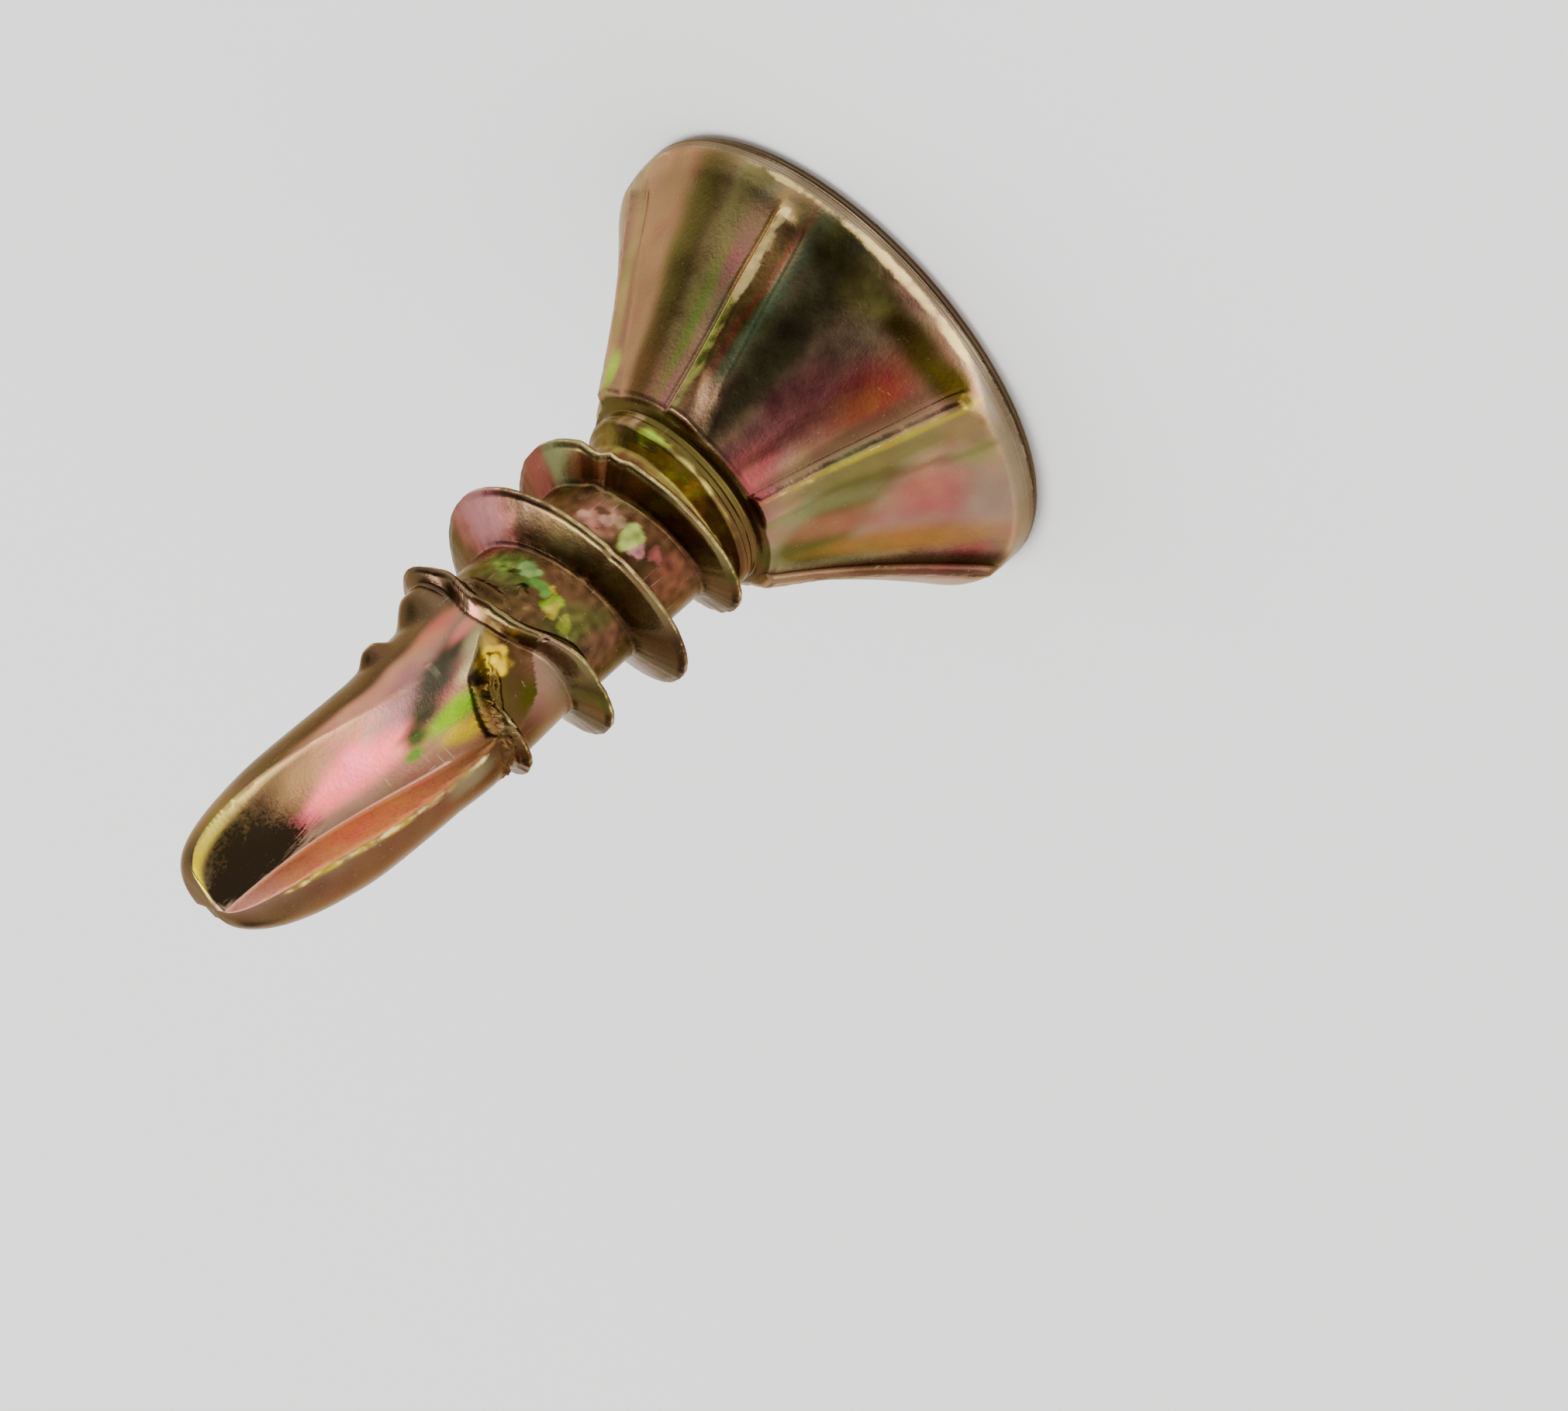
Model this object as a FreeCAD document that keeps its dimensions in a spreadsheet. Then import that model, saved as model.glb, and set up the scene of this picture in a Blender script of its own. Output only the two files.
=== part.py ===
import FreeCAD, Part
import os

import Sketcher

# Self-drilling screw for window frames, turned and rolled from one piece of wire.
# The screw stands on its flat head: the origin is the middle of the head's face,
# +Z runs along the shank to the drill point. Millimetres and degrees.

NODE = "window_frame_screw"

# Driving sizes: alias, value, what it measures.
SIZES = [
    ("overall_length", 12.5, "face of the head to the tip of the point"),
    ("head_diameter", 7.5, "over the rim of the head"),
    ("rim_height", 0.57, "straight land round the head, from the face"),
    ("face_round", 0.17, "rounding between the face and the land"),
    ("rim_round", 0.20, "rounding between the land and the cone"),
    ("cone_height", 2.66, "countersunk cone, along the axis"),
    ("cone_end_diameter", 3.36, "small end of the cone"),
    ("cone_hollow_radius", 16.0, "hollow of the cone, along its slope"),
    ("shoulder_height", 0.12, "step from the cone down to the collar"),
    ("neck_diameter", 2.95, "collar under the cone"),
    ("neck_length", 0.38, "cone to the end of the collar"),
    ("neck_run", 0.21, "slope from the collar down to the core"),
    ("core_diameter", 2.42, "shank between the thread's turns"),
    ("rib_count", 6, "cutting ribs under the head"),
    ("rib_angle", 60.0, "azimuth of the first rib's crest"),
    ("rib_start", 0.16, "rim land to the full height of a rib"),
    ("rib_height", 0.11, "crest above the cone at the rim, square to the axis"),
    ("rib_end_height", 0.07, "crest above the cone at its small end"),
    ("rib_crest_width", 0.12, "land along the crest"),
    ("rib_steep_width", 0.07, "land to the foot of the steep flank"),
    ("rib_gentle_width", 0.24, "land to the foot of the gentle flank"),
    ("rib_root", 0.35, "depth of a rib's buried root"),
    ("thread_diameter", 3.90, "crest diameter where the thread is full"),
    ("thread_pitch", 1.30, "crest to crest"),
    ("thread_flank_angle", 20.0, "lean of each flank from a level plane"),
    ("thread_crest_width", 0.08, "width of the land on the crest"),
    ("ridge_height", 0.82, "crest to the ridge's buried foot"),
    ("thread_start_diameter", 3.19, "crest where the thread grows out of the collar"),
    ("growing_turns", 2, "whole turns of thread up to the full diameter"),
    ("tapering_turns", 2, "whole turns from the full diameter to the last of the thread"),
    ("thread_end_diameter", 2.50, "crest where the thread ends beside the flutes"),
    ("thread_overrun", 0.11, "end of the core to the thread's last crest, at azimuth 0"),
    ("drill_diameter", 2.33, "body of the drill point"),
    ("drill_length", 4.20, "drill point, from where it leaves the core"),
    ("drill_run", 0.60, "slope from the core to the drill's body"),
    ("point_angle", 126.0, "included angle of the point"),
    ("point_round", 1.00, "rounding of the point's shoulder"),
    ("relief_angle", 37.0, "slope of the ground face behind each lip"),
    ("relief_azimuth", -8.0, "azimuth that the first ground face leans to"),
    ("wall_angle", 57.0, "azimuth of the first flute's cutting wall, at the tip"),
    ("floor_radius", 1.90, "hollow of the flute's floor"),
    ("floor_reach", 1.45, "axis to the outer edge of the flute's cut"),
    ("floor_rise", 0.84, "outer edge of the cut above the floor's root"),
    ("tip_section_rise", 0.60, "first section of the flute, beyond the tip"),
    ("tip_floor", 0.20, "root of the floor from the axis, in the first section"),
    ("middle_floor", 0.42, "root of the floor from the axis, at its middle"),
    ("middle_length", 2.20, "tip to the middle of the flute"),
    ("middle_turn", -5.0, "turn of the flute from the tip to its middle"),
    ("upper_floor", 0.74, "root of the floor where the cutting wall ends"),
    ("upper_length", 3.70, "tip to the end of the cutting wall"),
    ("upper_turn", -10.0, "turn of the flute from the tip to the end of the wall"),
    ("exit_length", 5.70, "tip to the section where the floor is outside the metal"),
    ("exit_turn", 22.0, "turn of the flute from the tip to its exit"),
    ("wing_span", 5.10, "cross recess, over two opposite wings"),
    ("wing_width", 1.12, "width of a wing at the face"),
    ("wing_floor_width", 0.84, "width of a wing at its floor"),
    ("wing_depth", 1.85, "depth of the wings"),
    ("wing_slope", 26.5, "slope of a wing's end wall from the axis"),
    ("recess_angle", 20.0, "azimuth of the first wing"),
    ("recess_corner_round", 0.48, "rounding between neighbouring wings"),
    ("recess_core_diameter", 1.84, "middle of the recess, at the face"),
    ("recess_floor_diameter", 1.06, "middle of the recess, above its pointed floor"),
    ("recess_depth", 2.45, "face to the edge of the pointed floor"),
    ("recess_floor_cone", 0.30, "height of the pointed floor"),
]

doc = FreeCAD.newDocument("WindowFrameScrew")


def make_sheet():
    sheet = doc.addObject("Spreadsheet::Sheet", "Sizes")
    for row, (alias, size, note) in enumerate(SIZES, start=1):
        sheet.set(f"A{row}", alias.replace("_", " "))
        sheet.set(f"B{row}", str(size))
        sheet.setAlias(f"B{row}", alias)
        sheet.set(f"C{row}", note)
    doc.recompute()
    return sheet


sizes = make_sheet()


def named(formula):
    """Put the sheet's name before each alias, so that a formula stays short to read."""
    words = sorted((alias for alias, size, note in SIZES), key=len, reverse=True)
    for number, word in enumerate(words):
        formula = formula.replace(word, f"<{number}>")
    for number, word in enumerate(words):
        formula = formula.replace(f"<{number}>", f"Sizes.{word}")
    return formula


def value(formula):
    result = sizes.evalExpression(named(formula))
    return result.Value if hasattr(result, "Value") else float(result)


def origin_item(body, role):
    for item in body.Origin.OriginFeatures:
        if item.Role == role:
            return item


def make_body(label):
    body = doc.addObject("PartDesign::Body", label)
    body.Label = label
    return body


def new_sketch(body, name, plane, height="0", turn="0", tilt="0"):
    """A sketch on one of the body's own planes, lifted by height, turned and then tilted."""
    sketch = body.newObject("Sketcher::SketchObject", name)
    sketch.AttachmentSupport = [(origin_item(body, plane), "")]
    sketch.MapMode = "FlatFace"
    sketch.setExpression("AttachmentOffset.Base.z", named(height))
    sketch.setExpression("AttachmentOffset.Rotation.Yaw", named(turn))
    sketch.setExpression("AttachmentOffset.Rotation.Pitch", named(tilt))
    return sketch


def pin_point(sketch, geometry, end, place, name):
    """Hold one point at a place that is given as two formulas."""
    for kind, formula in zip(("DistanceX", "DistanceY"), place):
        constraint = Sketcher.Constraint(kind, geometry, end, value(formula))
        number = sketch.addConstraint(constraint)
        sketch.renameConstraint(number, f"{name}_{kind[-1].lower()}")
        sketch.setExpression(f"Constraints[{number}]", named(formula))


def arc_between(start, end, radius, side):
    """Minor arc from start to end. Side 1 bulges to the left of the way, -1 to the right."""
    chord = end - start
    left = FreeCAD.Vector(-chord.y, chord.x, 0).normalize()
    bulge = radius - (radius ** 2 - (chord.Length / 2) ** 2) ** 0.5
    return Part.Arc(start, (start + end) * 0.5 + left * bulge * side, end)


def end_at(sketch, edge, corner):
    """1 if the edge starts at the corner, 2 if it ends there."""
    return 1 if sketch.getPoint(edge, 1).distanceToPoint(corner) < 1e-6 else 2


def draw_outline(sketch, outline):
    """Closed outline of steps. A step is (x, y) for a corner that a straight edge leaves,
    or (x, y, radius, side) for a corner that an arc leaves. All but side are formulas."""
    corners = [FreeCAD.Vector(value(step[0]), value(step[1]), 0) for step in outline]
    following = corners[1:] + corners[:1]
    edges = []
    for step, start, end in zip(outline, corners, following):
        if len(step) == 2:
            edge = Part.LineSegment(start, end)
        else:
            edge = arc_between(start, end, value(step[2]), step[3])
        edges.append(sketch.addGeometry(edge, False))
    for number, step in enumerate(outline):
        here = edges[number]
        after = edges[(number + 1) % len(edges)]
        start = end_at(sketch, here, corners[number])
        joint = end_at(sketch, after, following[number])
        sketch.addConstraint(Sketcher.Constraint("Coincident", here, 3 - start, after, joint))
        pin_point(sketch, here, start, step[:2], f"corner{number}")
        if len(step) == 4:
            radius = sketch.addConstraint(Sketcher.Constraint("Radius", here, value(step[2])))
            sketch.renameConstraint(radius, f"radius{number}")
            sketch.setExpression(f"Constraints[{radius}]", named(step[2]))


def pattern_round(body, feature, name, count):
    pattern = body.newObject("PartDesign::PolarPattern", name)
    pattern.Originals = [feature]
    pattern.Axis = (origin_item(body, "Z_Axis"), [""])
    pattern.Angle = 360
    pattern.setExpression("Occurrences", named(count))
    body.Tip = pattern
    return pattern


# Heights along the axis, as formulas of the driving sizes.
CONE_END = "(rim_height + cone_height)"
NECK_END = f"({CONE_END} + neck_length)"
CORE_START = f"({NECK_END} + neck_run)"
CORE_END = "(overall_length - drill_length)"
POINT_CORNER = "(overall_length - drill_diameter / 2 / tan(point_angle / 2))"
LAST_CREST = f"({CORE_END} + thread_overrun)"
FIRST_CREST = f"({LAST_CREST} - (growing_turns + tapering_turns) * thread_pitch)"


def blank_outline():
    """Half section of head, neck, core and drill body: radius, height."""
    return [
        ("0", "0"),
        ("head_diameter / 2", "0"),
        ("head_diameter / 2", "rim_height", "cone_hollow_radius", 1),
        ("cone_end_diameter / 2", CONE_END),
        ("neck_diameter / 2", f"{CONE_END} + shoulder_height"),
        ("neck_diameter / 2", NECK_END),
        ("core_diameter / 2", CORE_START),
        ("core_diameter / 2", CORE_END),
        ("drill_diameter / 2", f"{CORE_END} + drill_run"),
        ("drill_diameter / 2", POINT_CORNER),
        ("0", "overall_length"),
    ]


def ring_edge(shape, diameter, height):
    """Name of the round edge with this diameter at this height."""
    for number, edge in enumerate(shape.Edges, start=1):
        curve = edge.Curve
        if curve.TypeId != "Part::GeomCircle":
            continue
        same_radius = abs(curve.Radius - value(diameter) / 2) < 1e-6
        same_height = abs(curve.Center.z - value(height)) < 1e-6
        if same_radius and same_height:
            return f"Edge{number}"
    raise RuntimeError(f"no edge of diameter {diameter} at {height}")


def round_ring(body, name, diameter, height, radius):
    doc.recompute()
    base = body.Tip
    ring = body.newObject("PartDesign::Fillet", name)
    ring.Base = (base, [ring_edge(base.Shape, diameter, height)])
    ring.setExpression("Radius", named(radius))
    body.Tip = ring
    return ring


def make_blank(body):
    sketch = new_sketch(body, "BlankSection", "XZ_Plane")
    draw_outline(sketch, blank_outline())
    blank = body.newObject("PartDesign::Revolution", "Blank")
    blank.Profile = sketch
    blank.ReferenceAxis = (sketch, ["V_Axis"])
    blank.Angle = 360
    body.Tip = blank
    round_ring(body, "FaceRound", "head_diameter", "0", "face_round")
    round_ring(body, "RimRound", "head_diameter", "rim_height", "rim_round")
    round_ring(body, "PointRound", "drill_diameter", POINT_CORNER, "point_round")


def rib_section(body, name, aside, rim_lift, end_lift):
    """Side view of a rib, on a plane beside its crest: it follows the hollow cone."""
    cone_slope = "(head_diameter - cone_end_diameter) / 2 / cone_height"
    sketch = new_sketch(body, name, "XZ_Plane", f"({aside}) * cos(rib_angle)", "0", "rib_angle")
    sketch.setExpression("AttachmentOffset.Base.x", named(f"({aside}) * sin(rib_angle)"))
    draw_outline(sketch, [
        ("head_diameter / 2 - rib_root - rim_round", "rim_height"),
        ("head_diameter / 2 - rim_round", "rim_height"),
        (f"head_diameter / 2 - rib_start * {cone_slope} + {rim_lift}", "rim_height + rib_start",
         "cone_hollow_radius", 1),
        (f"cone_end_diameter / 2 + {end_lift}", CONE_END),
        ("cone_end_diameter / 2 - rib_root", f"{CONE_END} + shoulder_height / 2"),
    ])
    return sketch


def make_ribs(body):
    """Ridges down the cone: gentle towards smaller azimuth, steep towards larger."""
    sunk = "(-rib_end_height)"
    rib = body.newObject("PartDesign::AdditiveLoft", "Rib")
    rib.Profile = rib_section(body, "RibGentleFoot", "rib_crest_width + rib_gentle_width", sunk, sunk)
    rib.Sections = [
        rib_section(body, "RibCrestEdge", "rib_crest_width", "rib_height", "rib_end_height"),
        rib_section(body, "RibCrest", "0", "rib_height", "rib_end_height"),
        rib_section(body, "RibSteepFoot", "-rib_steep_width", sunk, sunk),
    ]
    rib.Ruled = True
    body.Tip = rib
    return pattern_round(body, rib, "Ribs", "rib_count")


def ridge_section(body, name, diameter, height):
    """Section of the thread's ridge, with its crest at this diameter and height."""
    foot_width = "(thread_crest_width + 2 * ridge_height * tan(thread_flank_angle))"
    section = new_sketch(body, name, "XZ_Plane")
    draw_outline(section, [
        (f"{diameter} / 2 - ridge_height", f"{height} - {foot_width} / 2"),
        (f"{diameter} / 2", f"{height} - thread_crest_width / 2"),
        (f"{diameter} / 2", f"{height} + thread_crest_width / 2"),
        (f"{diameter} / 2 - ridge_height", f"{height} + {foot_width} / 2"),
    ])
    return section


def add_ridge(body, name, section, turns, small_diameter, large_diameter, reversed_way):
    """Helical ridge whose crest grows from the small to the large diameter."""
    slope = f"(({large_diameter} - {small_diameter}) / 2 / ({turns} * thread_pitch))"
    ridge = body.newObject("PartDesign::AdditiveHelix", name)
    ridge.Profile = section
    ridge.ReferenceAxis = (section, ["V_Axis"])
    ridge.Mode = 0
    ridge.Reversed = reversed_way
    ridge.setExpression("Pitch", named("thread_pitch"))
    ridge.setExpression("Height", named(f"{turns} * thread_pitch"))
    ridge.setExpression("Angle", named(f"atan({slope})"))
    body.Tip = ridge


def make_thread_body():
    """One ridge: out of the collar up to the full diameter, and up to it again from the drill."""
    body = make_body("thread_ridge")
    collar = ridge_section(body, "RidgeAtCollar", "thread_start_diameter", FIRST_CREST)
    add_ridge(body, "GrowingRidge", collar, "growing_turns",
              "thread_start_diameter", "thread_diameter", False)
    last = ridge_section(body, "RidgeAtDrill", "thread_end_diameter", LAST_CREST)
    add_ridge(body, "TaperingRidge", last, "tapering_turns",
              "thread_end_diameter", "thread_diameter", True)
    return body


def join_thread(body, thread):
    joined = body.newObject("PartDesign::Boolean", "Thread")
    joined.Type = "Fuse"
    joined.addObject(thread)
    body.Tip = joined
    return joined


def flute_section(body, name, height, turn, level):
    """Section of a flute: cutting wall, hollow floor, and sides outside the metal."""
    top = f"({level} + drill_diameter)"
    sketch = new_sketch(body, name, "XY_Plane", height, turn)
    draw_outline(sketch, [
        (f"{top} / tan(wall_angle)", top),
        (f"{level} / tan(wall_angle)", level, "floor_radius", 1),
        ("-floor_reach", f"{level} + floor_rise"),
        ("-floor_reach", top),
    ])
    return sketch


def make_flutes(body):
    """Two flutes, whose floors rise from the tip and leave the shank beside the thread."""
    outside = "core_diameter * 0.6"
    flute = body.newObject("PartDesign::SubtractiveLoft", "Flute")
    flute.Profile = flute_section(body, "FluteAtTip", "overall_length + tip_section_rise",
                                  "0", "tip_floor")
    flute.Sections = [
        flute_section(body, "FluteAtMiddle", "overall_length - middle_length", "middle_turn",
                      "middle_floor"),
        flute_section(body, "FluteAtWallEnd", "overall_length - upper_length", "upper_turn",
                      "upper_floor"),
        flute_section(body, "FluteAtExit", "overall_length - exit_length", "exit_turn", outside),
    ]
    flute.Ruled = True
    body.Tip = flute
    return pattern_round(body, flute, "Flutes", "2")


def make_relief(body):
    """Ground face behind each cutting lip, leaning away from the tip."""
    sketch = new_sketch(body, "ReliefFace", "XY_Plane", "overall_length",
                        "relief_azimuth", "relief_angle")
    side = "drill_diameter"
    draw_outline(sketch, [
        ("0", f"-{side}"),
        (side, f"-{side}"),
        (side, side),
        ("0", side),
    ])
    relief = body.newObject("PartDesign::Pocket", "Relief")
    relief.Profile = sketch
    relief.setExpression("Length", named("drill_diameter"))
    relief.Reversed = True
    body.Tip = relief
    return pattern_round(body, relief, "Reliefs", "2")


def wing_section(body, name, height, width, reach):
    sketch = new_sketch(body, name, "XY_Plane", height, "recess_angle")
    draw_outline(sketch, [
        ("0", f"-{width} / 2"),
        (reach, f"-{width} / 2"),
        (reach, f"{width} / 2"),
        ("0", f"{width} / 2"),
    ])
    return sketch


def make_recess(body):
    """Cross recess: four tapering wings, rounded corners and a pointed middle."""
    wing = body.newObject("PartDesign::SubtractiveLoft", "Wing")
    wing.Profile = wing_section(body, "WingAtFace", "0", "wing_width", "wing_span / 2")
    wing.Sections = [wing_section(body, "WingAtFloor", "wing_depth", "wing_floor_width",
                                  "wing_span / 2 - wing_depth * tan(wing_slope)")]
    wing.Ruled = True
    body.Tip = wing
    wings = pattern_round(body, wing, "Wings", "4")
    doc.recompute()

    corners = body.newObject("PartDesign::Fillet", "WingCorners")
    corners.Base = (wings, wing_corner_edges(wings.Shape))
    corners.setExpression("Radius", named("recess_corner_round"))
    body.Tip = corners

    sketch = new_sketch(body, "RecessMiddle", "XZ_Plane")
    draw_outline(sketch, [
        ("0", "0"),
        ("recess_core_diameter / 2", "0"),
        ("recess_floor_diameter / 2", "recess_depth"),
        ("0", "recess_depth + recess_floor_cone"),
    ])
    middle = body.newObject("PartDesign::Groove", "RecessCone")
    middle.Profile = sketch
    middle.ReferenceAxis = (sketch, ["V_Axis"])
    middle.Angle = 360
    body.Tip = middle
    return middle


def wing_corner_edges(shape):
    """Edges that run down the recess where two neighbouring wings meet."""
    reach = value("wing_width") * 0.75
    names = []
    for number, edge in enumerate(shape.Edges, start=1):
        if len(edge.Vertexes) != 2:
            continue
        low, high = sorted((vertex.Point for vertex in edge.Vertexes), key=lambda point: point.z)
        at_face = abs(low.z) < 1e-6
        near_axis = (low.x ** 2 + low.y ** 2) ** 0.5 < reach
        goes_down = abs(high.z - value("wing_depth")) < 1e-6
        if at_face and near_axis and goes_down:
            names.append(f"Edge{number}")
    return names


def check_document():
    for item in doc.Objects:
        for word in ("Invalid", "Error"):
            if word in item.State:
                raise RuntimeError(f"{item.Label} is {item.State}")


def main():
    thread = make_thread_body()
    screw = make_body(NODE)
    make_blank(screw)
    make_ribs(screw)
    join_thread(screw, thread)
    doc.recompute()
    solid_before = screw.Shape.Volume
    make_flutes(screw)
    make_relief(screw)
    make_recess(screw)
    doc.recompute()
    check_document()
    shape = screw.Shape
    if shape.isNull() or not shape.isValid():
        raise RuntimeError("the screw's shape is not valid")
    if shape.Volume >= solid_before:
        raise RuntimeError("the cuts removed nothing")
    os.makedirs("parts", exist_ok=True)
    shape.exportStep(f"parts/{NODE}.step")
    print(NODE, len(shape.Solids), "solid", round(shape.Volume, 3), "mm3")


main()
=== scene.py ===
import math

import bpy
import numpy as np
from mathutils import Matrix, Vector, noise


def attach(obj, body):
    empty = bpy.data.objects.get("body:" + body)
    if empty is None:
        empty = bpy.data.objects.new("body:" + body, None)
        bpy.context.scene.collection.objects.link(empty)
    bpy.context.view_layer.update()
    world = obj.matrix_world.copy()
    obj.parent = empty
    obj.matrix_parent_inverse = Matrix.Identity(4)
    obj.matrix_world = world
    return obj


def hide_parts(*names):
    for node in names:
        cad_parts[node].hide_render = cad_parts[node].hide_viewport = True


# A window frame screw that stands on its flat head with its drill point up.
# The mesh is worked out in millimetres, in rings round the axis, and then put in metres.

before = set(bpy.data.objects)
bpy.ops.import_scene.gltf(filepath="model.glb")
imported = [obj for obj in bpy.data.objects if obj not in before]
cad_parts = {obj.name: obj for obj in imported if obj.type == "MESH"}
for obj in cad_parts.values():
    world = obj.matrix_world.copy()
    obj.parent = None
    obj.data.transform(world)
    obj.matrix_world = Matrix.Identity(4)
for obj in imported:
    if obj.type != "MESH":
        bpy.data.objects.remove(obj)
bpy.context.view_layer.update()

# Sizes in millimetres and degrees. Heights are measured from the head's face.
TIP = 12.5

# Head, its hollow cone and the ribs. The battered rib has the rim rolled in on both sides of it.
HEAD_RADIUS = 3.75
RIM_TOP = 0.57
FACE_ROUND = 0.17
CONE_TOP = 3.23
CONE_TOP_RADIUS = 1.68
CONE_HOLLOW = 16.0
RIB_COUNT = 6
RIB_SPACING = 360.0 / RIB_COUNT
RIB_AZIMUTH = 62.5
BATTERED = 302.0
RECESS_AZIMUTH = 20.0

# Collar, core and drill.
COLLAR_FOOT = 3.35
COLLAR_TOP = 3.61
COLLAR_RADIUS = 1.475
CORE_FOOT = 3.82
CORE_TOP = 8.3
CORE_RADIUS = 1.21
DRILL_FOOT = 8.9
DRILL_RADIUS = 1.165

# Thread.
PITCH = 1.30
FIRST_CREST = 3.21
CREST_HALF = 0.04
FLANK_SLOPE = 1.0 / math.tan(math.radians(20.0))

# Columns round the screw: a multiple of the ribs, the recess's wings and the flutes.
COLUMNS = 288
STEP = 360.0 / COLUMNS
FIRST_COLUMN = 30.0
columns = np.arange(COLUMNS)


def soft_min(a, b, blend):
    """The smaller of two radii, with a rounded corner where they cross."""
    share = np.clip(0.5 + 0.5 * (b - a) / blend, 0.0, 1.0)
    return b + (a - b) * share - blend * share * (1.0 - share)


def soft_max(a, b, blend):
    """The larger of two radii, with a rounded corner where they cross."""
    return -soft_min(-a, -b, blend)


def ease(low, high, x):
    """0 below low, 1 above high, smooth between."""
    t = np.clip((x - low) / (high - low), 0.0, 1.0)
    return t * t * (3.0 - 2.0 * t)


def signed(angle, period=360.0, below=None):
    """The angle within one period that starts this far below 0: half a period if not given."""
    below = period / 2 if below is None else below
    return (angle + below) % period - below


def away_from(azimuth, z, patch, period=360.0):
    """Distance from a patch's middle, counted in its half sizes. A patch is the azimuth and
    height of its middle and its half size round and up."""
    middle, height, wide, tall = patch
    return np.hypot(signed(azimuth - middle, period) / wide, (z - height) / tall)


def flat_place(azimuth, radius):
    """x and y at this azimuth and radius."""
    angle = np.radians(azimuth)
    return radius * np.cos(angle), radius * np.sin(angle)


def even(columns):
    """Azimuth of each column where nothing needs another spacing."""
    return FIRST_COLUMN + STEP * columns


def same(value):
    """One value for every column."""
    return np.full(COLUMNS, value)


def grain(x, y, z, size, seed):
    """Smooth noise of about -1 to 1 with lumps of this size in millimetres."""
    flat = np.stack(np.broadcast_arrays(x, y, z), axis=-1).reshape(-1, 3) / size + seed
    found = np.array([noise.noise(point) for point in flat.tolist()])
    return found.reshape(np.broadcast(x, y, z).shape)


# Head: cone with cutting ribs


def cone_radius(z):
    """Radius of the hollow cone between its two ends."""
    start = np.array([HEAD_RADIUS, RIM_TOP])
    end = np.array([CONE_TOP_RADIUS, CONE_TOP])
    chord = end - start
    length = np.linalg.norm(chord)
    outward = np.array([chord[1], -chord[0]]) / length
    centre = (start + end) / 2 + outward * math.sqrt(CONE_HOLLOW ** 2 - (length / 2) ** 2)
    return centre[0] - np.sqrt(CONE_HOLLOW ** 2 - (np.asarray(z) - centre[1]) ** 2)


# Columns across a rib, as distances from its crest towards larger azimuth.
RIB_STATIONS = (-0.62, -0.52, -0.485, -0.45, -0.41, -0.34, -0.27, -0.21, -0.17, -0.14, -0.11,
                -0.08, -0.05, -0.02, 0.01, 0.03, 0.05, 0.07, 0.09, 0.12, 0.17)
# The column of each rib's share at which they start.
RIB_START = 13


def rib_columns(columns, radius):
    """Azimuth of each column on the cone: close together over each rib, even between."""
    period = COLUMNS // RIB_COUNT
    place = columns % period
    last = RIB_START + len(RIB_STATIONS) - 1
    angles = np.degrees(np.arcsin(np.array(RIB_STATIONS) / radius))
    low, high = angles[0], angles[-1]
    step = (RIB_SPACING - high + low) / (period - (last - RIB_START))
    offset = np.interp(place, np.arange(RIB_START, last + 1), angles)
    offset = np.where(place > last, high + step * (place - last), offset)
    offset = np.where(place < RIB_START, low - step * (RIB_START - place), offset)
    return RIB_AZIMUTH + RIB_SPACING * (columns // period) + offset


# The section across a rib, as (distance from its line, share of its height). A fine groove
# that the rolling tool left runs beside each foot.
RIB_SHAPE = ((-0.56, 0.0), (-0.485, -0.13), (-0.45, -0.02), (-0.41, 0.14), (-0.34, 0.30),
             (-0.27, 0.50), (-0.21, 0.72), (-0.14, 1.0), (-0.02, 1.0), (0.03, 0.62), (0.07, 0.0),
             (0.09, -0.14), (0.12, -0.02), (0.17, 0.0))
RIB_CREST = -0.08


def rib_aside(azimuth, radius):
    """Distance from the nearest rib's line, towards larger azimuth."""
    return radius * np.sin(np.radians(signed(azimuth - RIB_AZIMUTH, RIB_SPACING)))


def rib_rise(azimuth, radius, z):
    """Height of the ribs above the cone, with the chips that run along their crests."""
    aside = rib_aside(azimuth, radius)
    crest = np.interp(z, [RIM_TOP, RIM_TOP + 0.16, CONE_TOP], [0.0, 0.135, 0.10])
    flare = 0.16 * ease(2.55, 3.15, z)
    widened = np.where(aside < RIB_CREST, np.minimum(aside + flare, RIB_CREST), aside)
    shape = np.interp(widened, *zip(*RIB_SHAPE))
    x, y = flat_place(azimuth, radius)
    torn = grain(x, y, np.broadcast_to(z, np.shape(azimuth)), 0.16, 11.0)
    on_crest = np.clip(1.0 - np.abs(aside - RIB_CREST) / 0.15, 0.0, 1.0)
    return crest * shape - 0.035 * on_crest * np.maximum(torn + 0.05, 0.0) * ease(0.5, 0.8, z)


# Thread

# The crest's radius by height: it grows for two turns and tapers for two.
CREST_HEIGHTS = (3.10, 3.21, 3.85, 4.49, 5.13, 5.79, 6.43, 7.09, 7.73, 8.38, 8.60)
CREST_RADII = (1.30, 1.60, 1.69, 1.79, 1.89, 1.95, 1.77, 1.50, 1.41, 1.28, 1.08)

# Nicks in the crest, as azimuth, height, half size in degrees and depth.
CREST_NICKS = ((314, 4.35, 7, 0.13), (300, 4.30, 4, 0.06), (268, 5.50, 3, 0.03),
               (222, 6.65, 4, 0.03), (120, 4.90, 5, 0.05), (75, 6.00, 4, 0.04))
NICK_TALL = 0.3
BENT_TURN = 2


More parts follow.
